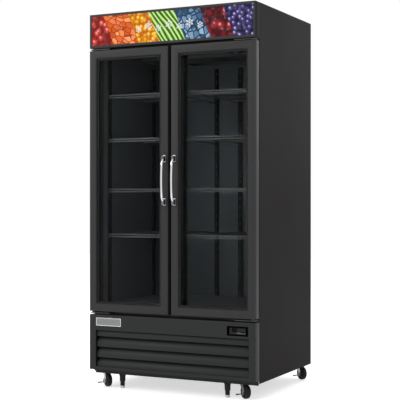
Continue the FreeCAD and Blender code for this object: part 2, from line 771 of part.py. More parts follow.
def hinge_bracket(name, level, up):
    """Plate, wall flange, collar and pin. `up` is 1 where the pin points up into the door."""
    plate = ("(%s)" % level, "(%s) + bracket_thick" % level)
    plate_x = ("bracket_inset - half", "bracket_inset + bracket_length - half")
    flange_x = ("flange_start - half", "bracket_inset + bracket_length - half")
    pieces = [block(name + "_plate", plate_x, ("front + bracket_setback", "case_front"), plate)]
    if up > 0:
        flange_z = (plate[0], plate[1] + " + flange_height")
        collar = (plate[1], "door_bottom - seat_gap - (%s)" % plate[1])
        pin = (plate[1], "door_bottom + pin_length - 1 - (%s)" % plate[1])
    else:
        flange_z = (plate[0] + " - flange_height", plate[1])
        collar = ("door_top + seat_gap", "%s - door_top - seat_gap" % plate[0])
        pin = ("door_top - pin_length + 1", "%s - door_top + pin_length - 1" % plate[0])
    pieces.append(block(name + "_flange", flange_x, ("case_front - flange_thick", "case_front"),
                        flange_z))
    pieces.append(rod(name + "_collar", "z", ("pin_x", "pin_y", collar[0]), "collar_radius",
                      collar[1]))
    pieces.append(rod(name + "_pin", "z", ("pin_x", "pin_y", pin[0]), "pin_radius", pin[1]))
    return fuse(name, *pieces)


def bracket_levels():
    return {"lower": "panel_top + (bottom_gap - bracket_thick) / 2",
            "upper": "door_top + (top_gap - bracket_thick) / 2"}


def hinge_brackets():
    levels = bracket_levels()
    lower = hinge_bracket("lower_bracket", levels["lower"], 1)
    upper = hinge_bracket("upper_bracket", levels["upper"], -1)
    node("hinge_brackets", group("hinge_brackets", lower, upper, mirror("lower_bracket_right", lower),
                                 mirror("upper_bracket_right", upper)))


# --- shelves and what carries them ----------------------------------------------------------------------

def slotted_standard(name, low, high):
    """An upright channel with a row of clip slots in its face, which looks along -Y."""
    body = new_body(name)
    section = sketch(body, "XY", low, [
        ("0", "0"), ("standard_width", "0"), ("standard_width", "standard_depth"),
        ("standard_width - standard_sheet", "standard_depth"),
        ("standard_width - standard_sheet", "standard_sheet"),
        ("standard_sheet", "standard_sheet"), ("standard_sheet", "standard_depth"),
        ("0", "standard_depth")])
    length = "(%s) - (%s)" % (high, low)
    pad(body, section, length)
    slot = sketch(body, "XZ", "0", corners_of(
        "(standard_width - slot_width) / 2", low + " + slot_pitch / 2",
        "(standard_width + slot_width) / 2", low + " + slot_pitch / 2 + slot_height"))
    opening = pocket(body, slot, "standard_sheet + 1")
    count = int(value(length) / value("slot_pitch"))
    row_of(body, opening, slot, "V_Axis", count, "slot_pitch")
    return body


def shelf_standards():
    """Uprights: front and rear on each side wall, two on the middle post, two on the back wall."""
    low = "inner_floor + 2"
    high = "min(opening_top; evap_bottom) - 10"
    upright = slotted_standard("upright", low, high)
    left = []
    wall = "standard_depth - inner_half"
    left.append(copy("upright_wall_front", upright, wall, "standard_front", turn=90))
    left.append(copy("upright_wall_rear", upright, wall, "standard_rear", turn=90))
    left.append(copy("upright_post", upright, "-mullion_half - standard_depth",
                     "mullion_back - 10", turn=-90))
    left.append(copy("upright_back", upright, "-mullion_half - back_upright - standard_width",
                     "inner_back - standard_depth"))
    half = group("left_uprights", *left)
    node("shelf_standards", group("shelf_standards", half, mirror("right_uprights", half)))


def wire_shelf():
    """A welded wire shelf, its top at zero height and its left front corner at the origin."""
    level = ("bar_bottom", "bar_top")
    last = "(shelf_depth - bar_thick)"
    bars = []
    for name, y in (("front", "0"), ("one", last + " * 2 / 3"), ("two", last + " / 3"),
                    ("rear", last)):
        bars.append(block("shelf_bar_" + name, ("0", "shelf_width"), (y, y + " + bar_thick"), level))
    bars.append(block("shelf_rail", ("0", "shelf_width"), ("0", "bar_thick"),
                      ("bar_bottom - rail_drop", "bar_top - rail_drop")))
    for name, x in (("left", "0"), ("right", "shelf_width - bar_thick")):
        bars.append(block("shelf_edge_" + name, (x, x + " + bar_thick"), ("0", "shelf_depth"), level))
    count = int(value("shelf_width / wire_pitch"))
    step = "shelf_width / %d" % count
    for i in range(1, count):
        x = "%s * %d" % (step, i)
        bars.append(rod("shelf_wire_%d" % i, "y", (x, "0.5", "-wire_radius"), "wire_radius",
                        "shelf_depth - 1"))
        bars.append(rod("shelf_drop_%d" % i, "z", (x, "bar_thick / 2", "bar_top - rail_drop - 1"),
                        "wire_radius", "rail_drop - bar_thick + 2"))
    return fuse("wire_shelf", *bars)


def shelves():
    source = wire_shelf()
    left = [copy("left_shelf_" + level, source, "shelf_left", "shelf_front", level)
            for level in SHELF_LEVELS]
    right = [copy("right_shelf_" + level, source, "-shelf_right", "shelf_front", level)
             for level in SHELF_LEVELS]
    node("left_shelves", group("left_shelves", *left))
    node("right_shelves", group("right_shelves", *right))


def shelf_clips():
    """Angle clips under the shelf corners, hooked on the uprights."""
    under = "bar_bottom"
    left = []
    for level in SHELF_LEVELS:
        top = level + " + " + under
        bottom = top + " - clip_height"
        base = top + " - clip_thick"
        wall = "standard_depth - inner_half"
        post = "-mullion_half - standard_depth"
        for spot, y in (("front", "standard_front"), ("rear", "standard_rear")):
            middle = y + " + standard_width / 2"
            side = (middle + " - clip_thick", middle + " + clip_thick")
            left.append(fuse("clip_%s_%s" % (level, spot),
                             block("clip_arm_%s_%s" % (level, spot), (wall, wall + " + clip_reach"),
                                   side, (base, top)),
                             block("clip_heel_%s_%s" % (level, spot), (wall, wall + " + clip_thick"),
                                   side, (bottom, top))))
        middle = "mullion_back - 10 - standard_width / 2"
        side = (middle + " - clip_thick", middle + " + clip_thick")
        left.append(fuse("clip_%s_post" % level,
                         block("clip_arm_%s_post" % level, (post + " - clip_reach", post), side,
                               (base, top)),
                         block("clip_heel_%s_post" % level, (post + " - clip_thick", post), side,
                               (bottom, top))))
        across = "-mullion_half - back_upright - standard_width / 2"
        depth = "inner_back - standard_depth"
        span = (across + " - clip_thick", across + " + clip_thick")
        left.append(fuse("clip_%s_back" % level,
                         block("clip_arm_%s_back" % level, span,
                               ("shelf_front + shelf_depth - clip_reach", depth), (base, top)),
                         block("clip_heel_%s_back" % level, span,
                               (depth + " - clip_thick", depth), (bottom, top))))
    right = [mirror(piece.Name + "_right", piece) for piece in left]
    node("shelf_clips", group("shelf_clips", *left, *right))


# --- cold side --------------------------------------------------------------------------------------------

def evaporator_cover():
    """Cover under the ceiling, open at the back, with a round port for each fan."""
    x = ("evap_side - inner_half", "inner_half - evap_side")
    shell = cut("evaporator_cover",
                block("evap_outer", x, ("evap_front", "inner_back"), ("evap_bottom", "inner_top")),
                block("evap_hollow", (x[0] + " + evap_sheet", x[1] + " - evap_sheet"),
                      ("evap_front + evap_sheet", "inner_back + 1"),
                      ("evap_bottom + evap_sheet", "inner_top + 1")),
                rod("evap_port_left", "y", ("-evap_fan_spread", "evap_front - 1", "evap_fan_level"),
                    "evap_ring * 0.86", "evap_sheet + 2"),
                rod("evap_port_right", "y", ("evap_fan_spread", "evap_front - 1", "evap_fan_level"),
                    "evap_ring * 0.86", "evap_sheet + 2"),
                block("evap_return", ("-inner_half / 2", "inner_half / 2"),
                      ("inner_back - coil_depth - coil_back", "inner_back - coil_back"),
                      ("evap_bottom - 1", "evap_bottom + evap_sheet + 1")))
    node("evaporator_cover", shell)


def finned_block(name, x, y, z, count_pitch):
    """A coil as a block with a row of slots in its front and back faces."""
    body = new_body(name)
    outline = sketch(body, "XZ", "-(" + y[0] + ")", corners_of(x[0], z[0], x[1], z[1]))
    pad(body, outline, "(%s) - (%s)" % (y[1], y[0]), reverse=True)
    start = "(%s) + %s" % (x[0], count_pitch)
    slot = sketch(body, "XY", z[0], corners_of(start, y[0] + " - 1", start + " + fin_slot",
                                               y[0] + " + fin_cut"),
                  corners_of(start, y[1] + " - fin_cut", start + " + fin_slot", y[1] + " + 1"))
    opening = pocket(body, slot, "(%s) - (%s)" % (z[1], z[0]), reverse=True)
    count = int((value(x[1]) - value(x[0])) / value(count_pitch)) - 2
    row_of(body, opening, slot, "H_Axis", count, count_pitch)
    return body


def evaporator_coil():
    coil = finned_block("evaporator_coil", ("coil_side - inner_half", "inner_half - coil_side"),
                        ("inner_back - coil_back - coil_depth", "inner_back - coil_back"),
                        ("inner_top - coil_drop", "inner_top"), "fin_pitch")
    node("evaporator_coil", coil)


def fan_blades(name, hub_radius, tip, chord, count):
    """Hub and leaning blades about Z, with a bore that runs on the motor's shaft."""
    body = new_body(name)
    hub = sketch(body, "XY", "0")
    add_circle(hub, "0", "0", hub_radius)
    add_circle(hub, "0", "0", "shaft_radius + running_play")
    pad(body, hub, "hub_length")
    lean = "%s * 0.42" % chord
    blade = sketch(body, "YZ", hub_radius + " * 0.8", [
        ("-(%s)" % lean, "2"), ("-(%s) + blade_sheet * 2" % lean, "2"),
        (lean, "hub_length - 2"), (lean + " - blade_sheet * 2", "hub_length - 2")])
    wing = pad(body, blade, "(%s) - %s * 0.8" % (tip, hub_radius))
    spread = body.newObject("PartDesign::PolarPattern", name + "_spread")
    spread.Originals = [wing]
    spread.Axis = (hub, ["N_Axis"])
    spread.Angle = 360
    spread.Occurrences = count
    body.Tip = spread
    return body


FACE_FRONT = Rotation(Vector(1, 0, 0), 90)


def set_fan(item, x, y, z):
    """Turns a fan's axis to look along -Y and sets it in its place."""
    item.Placement = Placement(Vector(), FACE_FRONT)
    return place(item, x, y, z)


def fan_places():
    return {
        "left_evaporator_fan": ("-evap_fan_spread", "evap_fan_plane", "evap_fan_level"),
        "right_evaporator_fan": ("evap_fan_spread", "evap_fan_plane", "evap_fan_level"),
        "condenser_fan": ("-condenser_fan_x", "shroud_back - 4", "condenser_fan_level"),
    }


def fans():
    for name, spot in fan_places().items():
        small = name != "condenser_fan"
        blades = fan_blades(name, "blade_hub", "evap_blade_tip" if small else "condenser_tip",
                            "blade_chord" if small else "blade_chord * 1.5", 5)
        node(name, set_fan(blades, *spot))


def fan_motors():
    """A motor behind each fan, with its shaft and the arm that carries it."""
    motors = []
    for name, (x, y, z) in fan_places().items():
        can = rod(name + "_can", "y", (x, y + " + 4", z), "motor_radius", "motor_length")
        shaft = rod(name + "_shaft", "y", (x, y + " - shaft_length + 8", z), "shaft_radius",
                    "shaft_length")
        left = "(%s) - arm_width / 2" % x
        right = "(%s) + arm_width / 2" % x
        deep = (y + " + motor_length / 2 - 4", y + " + motor_length / 2 + 8")
        floor = "base_top" if name == "condenser_fan" else "evap_bottom + evap_sheet"
        arm = block(name + "_arm", (left, right), deep, (floor, z))
        foot = block(name + "_foot", (left, right), (deep[0], deep[1] + " + 20"),
                     (floor, floor + " + 3"))
        motors.append(fuse(name + "_motor", can, shaft, arm, foot))
    node("fan_motors", group("fan_motors", *motors))


# --- machine compartment ------------------------------------------------------------------------------------

def condenser():
    x = ("coil_left - half", "-coil_right")
    coil = finned_block("condenser_coil", x, ("block_front", "block_back"),
                        ("base_top", "block_top"), "fin_pitch")
    node("condenser_coil", coil)
    shell = cut("shroud_shell",
                block("shroud_outer", x, ("block_back", "shroud_back"), ("base_top", "block_top")),
                block("shroud_hollow", (x[0] + " + shroud_sheet", x[1] + " - shroud_sheet"),
                      ("block_back - 1", "shroud_back - shroud_sheet"),
                      ("base_top + shroud_sheet", "block_top - shroud_sheet")),
                rod("shroud_port", "y", ("-condenser_fan_x", "block_back", "condenser_fan_level"),
                    "condenser_ring", "shroud_depth + 1"))
    node("condenser_shroud", shell)


def compressor():
    """Welded pot on a foot plate with four grommets."""
    low = "base_top + pot_feet"
    body = new_body("pot")
    top = low + " + pot_height"
    outline = sketch(body, "XZ", "0", [
        ("0", low), ("pot_radius * 0.8", low), ("pot_radius", low + " + 18"),
        ("pot_radius", low + " + pot_height / 2"),
        ("pot_radius + 4", low + " + pot_height / 2"),
        ("pot_radius + 4", low + " + pot_height / 2 + 6"),
        ("pot_radius", low + " + pot_height / 2 + 6"),
        ("pot_radius", top + " - 34"), ("pot_radius * 0.72", top + " - 6"), ("0", top)])
    revolve(body, outline)
    place(body, "pot_x", "pot_y + front")
    edge = "pot_base / 2"
    plate = block("pot_plate", ("pot_x - " + edge, "pot_x + " + edge),
                  ("pot_y + front - %s * 0.8" % edge, "pot_y + front + %s * 0.8" % edge),
                  (low + " - 3", low))
    feet = []
    for i, (sx, sy) in enumerate(((-1, -1), (1, -1), (-1, 1), (1, 1))):
        feet.append(rod("pot_foot_%d" % i, "z",
                        ("pot_x + %d * (pot_base / 2 - 16)" % sx,
                         "pot_y + front + %d * (pot_base * 0.4 - 16)" % sy, "base_top"),
                        "11", "pot_feet - 2"))
    terminal = block("pot_terminal", ("pot_x + pot_radius - 6", "pot_x + pot_radius + 26"),
                     ("pot_y + front - 30", "pot_y + front + 30"), (low + " + 30", low + " + 84"))
    stubs = [rod("pot_outlet", "x", ("pot_x - pot_radius - stub_reach", "pot_y + front",
                                     "base_top + discharge_level"), "stub_radius",
                 "stub_reach + pot_radius / 2"),
             rod("pot_inlet", "z", ("pot_x", "pot_y + front", top + " - 20"), "stub_radius",
                 "20 + stub_reach")]
    node("compressor", fuse("compressor", body, plate, terminal, *feet, *stubs))


def drain_pan():
    x = ("pan_x", "pan_x + pan_width")
    y = ("back - pan_back - pan_depth", "back - pan_back")
    pan = cut("drain_pan", block("pan_outer", x, y, ("base_top", "base_top + pan_height")),
              block("pan_hollow", (x[0] + " + 2", x[1] + " - 2"), (y[0] + " + 2", y[1] + " - 2"),
                    ("base_top + 2", "base_top + pan_height + 1")))
    node("drain_pan", pan)


def tube(name, corners):
    """A copper tube of straight runs joined by tangent arcs."""
    points = [Vector(*(value(text) for text in corner)) for corner in corners]
    radius = value("tube_radius")
    bend = value("tube_bend")
    edges = []
    start = points[0]
    for before, here, after in zip(points, points[1:], points[2:]):
        inward = (before - here).normalize()
        outward = (after - here).normalize()
        into = here + inward * bend
        out = here + outward * bend
        centre = here + (inward + outward) * bend
        middle = centre - (inward + outward).normalize() * bend
        edges.append(Part.LineSegment(start, into).toShape())
        edges.append(Part.Arc(into, middle, out).toShape())
        start = out
    edges.append(Part.LineSegment(start, points[-1]).toShape())
    path = Part.Wire(edges)
    circle = Part.Wire([Part.Circle(points[0], points[1] - points[0], radius).toShape()])
    item = doc.addObject("Part::Feature", name)
    item.Shape = path.makePipeShell([circle], True, False)
    length = sum(edge.Length for edge in edges)
    print("tube", name, "volume over section times length",
          round(item.Shape.Volume / (3.14159265 * radius ** 2 * length), 4))
    return item


def refrigerant_tubes():
    """Discharge line to the condenser, liquid line from it, and the riser to the evaporator."""
    pot_side = "pot_x - pot_radius - stub_reach"
    pot = "pot_y + front"
    coil_edge = "-coil_right"
    coil_mid = "(block_front + block_back) / 2"
    level = "base_top + discharge_level"
    discharge = tube("discharge_line", [
        (pot_side, pot, level), (pot_side + " - 50", pot, level),
        (pot_side + " - 50", coil_mid, level), (coil_edge, coil_mid, level)])
    liquid = tube("liquid_line", [
        (coil_edge, coil_mid, "base_top + 45"), (pot_side + " - 100", coil_mid, "base_top + 45"),
        (pot_side + " - 100", "riser_y - 60", "base_top + 45"),
        (pot_side + " - 100", "riser_y - 60", "cabinet_floor")])
    lid = "base_top + pot_feet + pot_height"
    riser = tube("evaporator_riser", [
        ("pot_x", pot, lid + " + stub_reach"), ("pot_x", pot, lid + " + stub_reach + 40"),
        ("pot_x", "riser_y", lid + " + stub_reach + 40"),
        ("riser_x", "riser_y", lid + " + stub_reach + 40"),
        ("riser_x", "riser_y", "evap_fan_level"),
        ("riser_x", "inner_back - coil_back", "evap_fan_level")])
    node("refrigerant_tubes", group("refrigerant_tubes", discharge, liquid, riser))


def electrical_box():
    """Terminal box at the back, with the mains gland set flush in the back panel."""
    x = ("half - box_right - box_width", "half - box_right")
    y = ("back_skin - box_back - box_depth", "back_skin - box_back")
    body = block("terminal_box", x, y, ("base_top", "base_top + box_height"))
    middle = "half - box_right - box_width / 2"
    gland = cut("gland", rod("gland_body", "y", (middle, y[1], "gland_level"), "gland_radius",
                             "back - (%s)" % y[1]),
                rod("gland_hole", "y", (middle, y[1] + " - 1", "gland_level"), "gland_bore",
                    "back - (%s) + 2" % y[1]))
    node("electrical_box", group("electrical_box", body, gland))


# --- casters and levelling legs -----------------------------------------------------------------------------

def set_caster(name, item):
    """Turns a piece modelled about the kingpin to the swivel angle and sets it in its place."""
    item.Placement = Placement(Vector(), Rotation(Vector(0, 0, 1), 0))
    place(item, *CASTERS[name])
    item.setExpression("Placement.Rotation.Angle", bound("caster_turn"))
    return item


def caster_plates():
    """Top plates with the raceway and kingpin, bolted under the floor sheet."""
    edge = "caster_plate / 2"
    plate = fuse("caster_plate",
                 block("plate_sheet_metal", ("-" + edge, edge), ("-" + edge, edge),
                       ("base_level - plate_sheet", "base_level")),
                 rod("plate_race", "z", ("0", "0", "race_bottom"), "race_radius",
                     "base_level - race_bottom"),
                 rod("plate_kingpin", "z", ("0", "0", "kingpin_end"), "kingpin_radius",
                     "base_level - kingpin_end"),
                 rod("plate_kingpin_head", "z", ("0", "0", "kingpin_end"), "kingpin_head",
                     "fork_top - fork_sheet - 0.5 - kingpin_end"))
    copies = [copy("plate_" + name, plate, *spot) for name, spot in CASTERS.items()]
    node("caster_plates", group("caster_plates", *copies))


def caster_fork():
    """Swivel head with two cheeks, the axle bolt and the lugs of the brake lever."""
    head = rod("fork_disc", "z", ("0", "0", "fork_top - fork_sheet"), "race_radius", "fork_sheet")
    cheeks = []
    for side, y in (("near", "-fork_outer"), ("far", "fork_half")):
        body = new_body("cheek_" + side)
        outline = sketch(body, "XZ", "-(" + y + ")", [
            ("-race_radius * 0.7", "fork_top"), ("race_radius * 0.78", "fork_top"),
            ("trail + boss_radius", "wheel_radius + 3"),
            ("trail + boss_radius * 0.7", "wheel_radius - boss_radius * 0.7"),
            ("trail", "wheel_radius - boss_radius"),
            ("trail - boss_radius * 0.7", "wheel_radius - boss_radius * 0.7"),
            ("trail - boss_radius * 1.1", "wheel_radius + 4")])
        pad(body, outline, "fork_side", reverse=True)
        cheeks.append(body)
    lugs = []
    for i, x in enumerate(("trail - lever_width / 2 - lug_thick", "trail + lever_width / 2")):
        lugs.append(block("lug_%d" % i, (x, x + " + lug_thick"),
                          ("-lever_offset - 3", "-fork_half - 0.5"),
                          ("lever_level - 3.5", "wheel_radius + 2.5")))
    pin = rod("lever_hinge_pin", "x",
              ("trail - lever_width / 2 - lug_thick", "-lever_offset", "lever_level"),
              "lever_pin", "lever_width + 2 * lug_thick")
    fork = cut("fork_bored", fuse("fork_solid", head, *cheeks, *lugs, pin),
               rod("kingpin_bore", "z", ("0", "0", "fork_top - fork_sheet - 1"),
                   "kingpin_radius + running_play", "fork_sheet + 2"),
               rod("axle_bore", "y", ("trail", "-fork_outer - 1", "wheel_radius"), "axle_radius",
                   "2 * fork_outer + 2"))
    bolt = fuse("axle_bolt",
                rod("axle", "y", ("trail", "-fork_outer - axle_head_thick", "wheel_radius"),
                    "axle_radius", "2 * (fork_outer + axle_head_thick)"),
                rod("axle_nut", "y", ("trail", "-fork_outer - axle_head_thick", "wheel_radius"),
                    "axle_head", "axle_head_thick"),
                rod("axle_cap", "y", ("trail", "fork_outer", "wheel_radius"), "axle_head",
                    "axle_head_thick"))
    return group("caster_fork", fork, bolt)


def caster_wheel():
    """Solid wheel turned about its axle: rounded tread, dished sides and a proud hub."""
    body = new_body("caster_wheel")
    half = "wheel_half"
    hub = "hub_width / 2"
    bore = "axle_radius + running_play"
    outline = sketch(body, "XY", "0", [
        (bore, "-(" + hub + ")"), ("hub_radius", "-(" + hub + ")"),
        ("hub_radius + 1", "rim_recess - " + half), ("rim_radius - 1", "rim_recess - " + half),
        ("rim_radius", "-" + half), ("wheel_radius - tread_round", "-" + half),
        ("wheel_radius - tread_round * 0.3", "tread_round * 0.3 - " + half),
        ("wheel_radius", "tread_round - " + half), ("wheel_radius", half + " - tread_round"),
        ("wheel_radius - tread_round * 0.3", half + " - tread_round * 0.3"),
        ("wheel_radius - tread_round", half), ("rim_radius", half),
        ("rim_radius - 1", half + " - rim_recess"), ("hub_radius + 1", half + " - rim_recess"),
        ("hub_radius", hub), (bore, hub)])
    revolve(body, outline)
    place(body, "trail", "0", "wheel_radius")
    return body


def brake_lever():
    """Foot tab with a barrel on the fork's pin and a short nose under the cheek."""
    low = "lever_level"
    barrel = rod("lever_barrel_solid", "x", ("trail - lever_width / 2 + 0.4", "-lever_offset", low),
                 "lever_barrel", "lever_width - 0.8")
    body = new_body("lever_tab")
    inner = "-lever_offset - lever_barrel + 1"
    tip = "-lever_offset - lever_reach"
    outline = sketch(body, "YZ", "trail - lever_width / 2 + 0.4", [
        (inner, low + " - 1.5"), (inner, low + " + 1.5"),
        ("-lever_offset - lever_reach * 0.4", low + " + 3"),
        ("-lever_offset - lever_reach * 0.75", low + " + 3"), (tip, low + " + 0.5"),
        (tip, low + " - lever_thick + 1"), ("-lever_offset - lever_reach * 0.7", low),
        ("-lever_offset - lever_reach * 0.4", low)])
    pad(body, outline, "lever_width - 0.8")
    pedal = block("lever_pedal", ("trail - pedal_width / 2", "trail + pedal_width / 2"),
                  (tip, "-lever_offset - pedal_start"), (low + " + 0.4", low + " + lever_thick"))
    nose = block("lever_nose", ("trail - 4", "trail + 4"),
                 ("-lever_offset + lever_barrel - 1", "-fork_half - 0.4"), (low + " - 3", low))
    return cut("brake_lever", fuse("lever_solid", barrel, body, pedal, nose),
               rod("lever_bore", "x", ("trail - lever_width", "-lever_offset", low),
                   "lever_pin + running_play", "2 * lever_width"))


def casters():
    pieces = {"fork": caster_fork(), "wheel": caster_wheel(), "brake_lever": brake_lever()}
    for name in CASTERS:
        for kind, source in pieces.items():
            moved = group("%s_%s" % (name, kind), source)
            node("%s_caster_%s" % (name, kind), set_caster(name, moved))


def leg_sleeves():
    """Flared sleeves under the leg boxes, bored for the feet."""
    body = new_body("leg_sleeve")
    bore = "foot_stem + running_play"
    outline = sketch(body, "XZ", "0", [
        (bore, "leg_end"), ("leg_waist", "leg_end"), ("leg_waist + 0.5", "waist_level - 2"),
        ("leg_radius - 1", "waist_level"), ("leg_radius", "skirt_bottom - flare_height"),
        ("leg_flare", "skirt_bottom"), (bore, "skirt_bottom")])
    revolve(body, outline)
    copies = [copy("sleeve_" + side, body, x, "front + leg_setback")
              for side, x in leg_places().items()]
    node("leg_sleeves", group("leg_sleeves", *copies))


def levelling_feet():
    for side, x in leg_places().items():
        body = new_body(side + "_levelling_foot")
        outline = sketch(body, "XZ", "0", [
            ("0", "0"), ("foot_radius - 1.5", "0"), ("foot_radius", "1.5"),
            ("foot_radius", "foot_height - 2"), ("foot_radius - 2", "foot_height"),
            ("foot_stem", "foot_height"), ("foot_stem", "foot_stem_top"), ("0", "foot_stem_top")])
        revolve(body, outline)
        node(side + "_levelling_foot", place(body, x, "front + leg_setback"))


# --- fasteners ------------------------------------------------------------------------------------------------

def panel_screws():
    """Heads of the screws in the hinge flanges, under the caster plates and in the back panel."""
    heads = []
    flange_x = ("flange_start + 14 - half", "bracket_inset + bracket_length - 14 - half")
    levels = bracket_levels()
    rows = {"lower": levels["lower"] + " + bracket_thick + flange_height / 2",
            "upper": levels["upper"] + " - flange_height / 2"}
    for name, z in rows.items():
        for i, x in enumerate(flange_x):
            heads.append(rod("flange_screw_%s_%d" % (name, i), "y",
                             (x, "case_front - flange_thick - screw_thick", z), "screw_head",
                             "screw_thick"))
    heads += [mirror(head.Name + "_right", head) for head in list(heads)]
    for name, (x, y) in CASTERS.items():
        for i, (sx, sy) in enumerate(((-1, -1), (1, -1), (-1, 1), (1, 1))):
            heads.append(rod("plate_bolt_%s_%d" % (name, i), "z",
                             ("%s + %d * bolt_spread" % (x, sx), "%s + %d * bolt_spread" % (y, sy),
                              "base_level - plate_sheet - bolt_thick"), "screw_head", "bolt_thick"))
    for i, z in enumerate(("side_bottom + 60", "height / 3", "2 * height / 3", "height - 30")):
        for side, sign in SIDES.items():
            heads.append(rod("back_screw_%s_%d" % (side, i), "y",
                             ("%d * (half - 20)" % sign, "back_skin + skin", z), "screw_head",
                             "screw_thick"))
    node("panel_screws", group("panel_screws", *heads))


# --- build, check and write -----------------------------------------------------------------------------------

sheet = write_sheet()
layout = write_layout()

outer_case()
back_panel()
inner_liner()
foam_insulation()
face_frame()
base_frame()
lower_grille()
name_plate()
controller_housing()
controller_keys()
lightbox_housing()
sign_panel()
led_lamps()
doors()
hinge_brackets()
shelf_standards()
shelves()
shelf_clips()
evaporator_cover()
evaporator_coil()
fans()
fan_motors()
condenser()
compressor()
drain_pan()
refrigerant_tubes()
electrical_box()
caster_plates()
casters()
leg_sleeves()
levelling_feet()
panel_screws()
doc.recompute()

failed = [item.Name for item in doc.Objects if {"Invalid", "Error"} & set(item.State)]
if failed:
    raise SystemExit("failed objects: %s" % failed)
for item in nodes:
    if item.Shape.isNull() or not item.Shape.isValid() or not item.Shape.Solids:
        raise SystemExit("bad shape: %s" % item.Label)

os.makedirs("parts", exist_ok=True)
for item in nodes:
    item.Shape.exportStep("parts/%s.step" % item.Label)
    box = item.Shape.BoundBox
    print("%-28s solids %2d  volume %12.1f  x %8.1f %8.1f  y %8.1f %8.1f  z %8.1f %8.1f" % (
        item.Label, len(item.Shape.Solids), item.Shape.Volume, box.XMin, box.XMax, box.YMin,
        box.YMax, box.ZMin, box.ZMax))
print(len(nodes), "sub-parts")
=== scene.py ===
import bpy
from math import atan2, cos, degrees, hypot, pi, radians, sin
from mathutils import Matrix, Vector


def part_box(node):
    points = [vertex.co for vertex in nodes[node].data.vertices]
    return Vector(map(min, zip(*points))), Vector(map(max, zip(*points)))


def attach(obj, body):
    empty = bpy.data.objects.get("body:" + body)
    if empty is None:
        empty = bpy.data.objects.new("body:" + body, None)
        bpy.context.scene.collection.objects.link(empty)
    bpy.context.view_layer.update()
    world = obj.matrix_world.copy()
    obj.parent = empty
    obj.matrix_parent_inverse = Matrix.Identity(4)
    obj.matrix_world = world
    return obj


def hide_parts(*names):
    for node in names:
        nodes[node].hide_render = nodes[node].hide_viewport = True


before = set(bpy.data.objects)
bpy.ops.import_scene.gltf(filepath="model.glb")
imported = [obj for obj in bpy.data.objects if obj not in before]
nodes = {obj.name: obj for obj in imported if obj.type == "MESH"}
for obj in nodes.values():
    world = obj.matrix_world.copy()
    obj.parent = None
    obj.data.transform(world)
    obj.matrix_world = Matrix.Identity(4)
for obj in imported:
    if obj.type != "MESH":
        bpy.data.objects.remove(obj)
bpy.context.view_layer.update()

# camera of the photograph, in metres, degrees and millimetres
cameraSetup = {
    "eye": (2.6521, -5.4183, 1.0412), "tilt": 90, "turn": 26.159, "lens": 95.616, "sensor": 36.0
}

bpy.ops.object.camera_add(
    location=cameraSetup["eye"],
    rotation=(radians(cameraSetup["tilt"]), 0, radians(cameraSetup["turn"])))
camera = bpy.context.object
camera.name = "photoCamera"
camera.data.lens = cameraSetup["lens"]
camera.data.sensor_width = cameraSetup["sensor"]
bpy.context.scene.camera = camera
print("camera set")


# small helpers for modelling by hand

sides = ("left", "right")
square = 0.9    # share of a unit normal or edge along an axis from which it counts as lying on it


def near(a, b, gap=0.0001):
    return abs(a - b) < gap


def within(at, span, gap=0):
    # inside left, right, bottom and top as seen from the front
    left, right, bottom, top = span
    return left - gap < at.x < right + gap and bottom - gap < at.z < top + gap


def facesFront(at, way):
    return way.y < -square


def facesFrontOrBack(at, way):
    return abs(way.y) > square


def useOnly(piece):
    bpy.ops.object.select_all(action="DESELECT")
    piece.select_set(True)
    bpy.context.view_layer.objects.active = piece


def enter(piece, action):
    useOnly(piece)
    bpy.ops.object.mode_set(mode="EDIT")
    bpy.ops.mesh.select_all(action=action)


def leave():
    bpy.ops.object.mode_set(mode="OBJECT")


def settle(piece, name=None):
    # the place goes into the mesh, the object stays at the origin
    useOnly(piece)
    bpy.ops.object.transform_apply(location=True, rotation=True, scale=True)
    if name:
        piece.name = name
    return piece


def addBlock(name, low, high):
    middle = [(a + b) / 2 for a, b in zip(low, high)]
    bpy.ops.mesh.primitive_cube_add(size=1, location=middle)
    piece = bpy.context.object
    piece.scale = [b - a for a, b in zip(low, high)]
    return settle(piece, name)


def addDrum(name, radius, length, sides, middle=(0, 0, 0), turn=(0, 0, 0)):
    bpy.ops.mesh.primitive_cylinder_add(vertices=sides, radius=radius, depth=length,
                                        location=middle, rotation=turn)
    return settle(bpy.context.object, name)


def pick(piece, chosen, kind="FACE"):
    # selects by a test on the middle and the normal or direction, and stays in edit mode
    enter(piece, "DESELECT")
    bpy.ops.mesh.select_mode(type=kind)
    bpy.ops.mesh.select_all(action="DESELECT")
    leave()
    mesh = piece.data
    if kind == "FACE":
        for face in mesh.polygons:
            face.select = bool(chosen(face.center, face.normal))
    else:
        for edge in mesh.edges:
            a, b = (mesh.vertices[i].co for i in edge.vertices)
            edge.select = bool(chosen((a + b) / 2, (b - a).normalized()))
    bpy.ops.object.mode_set(mode="EDIT")


def cutAt(piece, axis, *places):
    # bisects the whole piece square to one axis at each place
    for place in places:
        enter(piece, "SELECT")
        bpy.ops.mesh.bisect(plane_co=[place * a for a in axis], plane_no=axis)
        leave()


def dropFaces(piece, chosen):
    pick(piece, chosen)
    bpy.ops.mesh.delete(type="FACE")
    leave()


def insetFaces(piece, chosen, width, depth=0.0, each=False):
    # insets the chosen faces and leaves the inner ones selected in edit mode
    pick(piece, chosen)
    bpy.ops.mesh.inset(thickness=width, depth=depth, use_individual=each)


def ringBlock(name, low, high, rail):
    # a block with a tunnel through it from front to back, its walls one rail wide
    piece = addBlock(name, low, high)
    insetFaces(piece, facesFrontOrBack, rail, each=True)
    bpy.ops.mesh.bridge_edge_loops()
    leave()
    return piece


def extrude(shift):
    bpy.ops.mesh.extrude_region_move(TRANSFORM_OT_translate={"value": shift})


def extrudeEdges(shift):
    bpy.ops.mesh.extrude_edges_move(TRANSFORM_OT_translate={"value": shift})


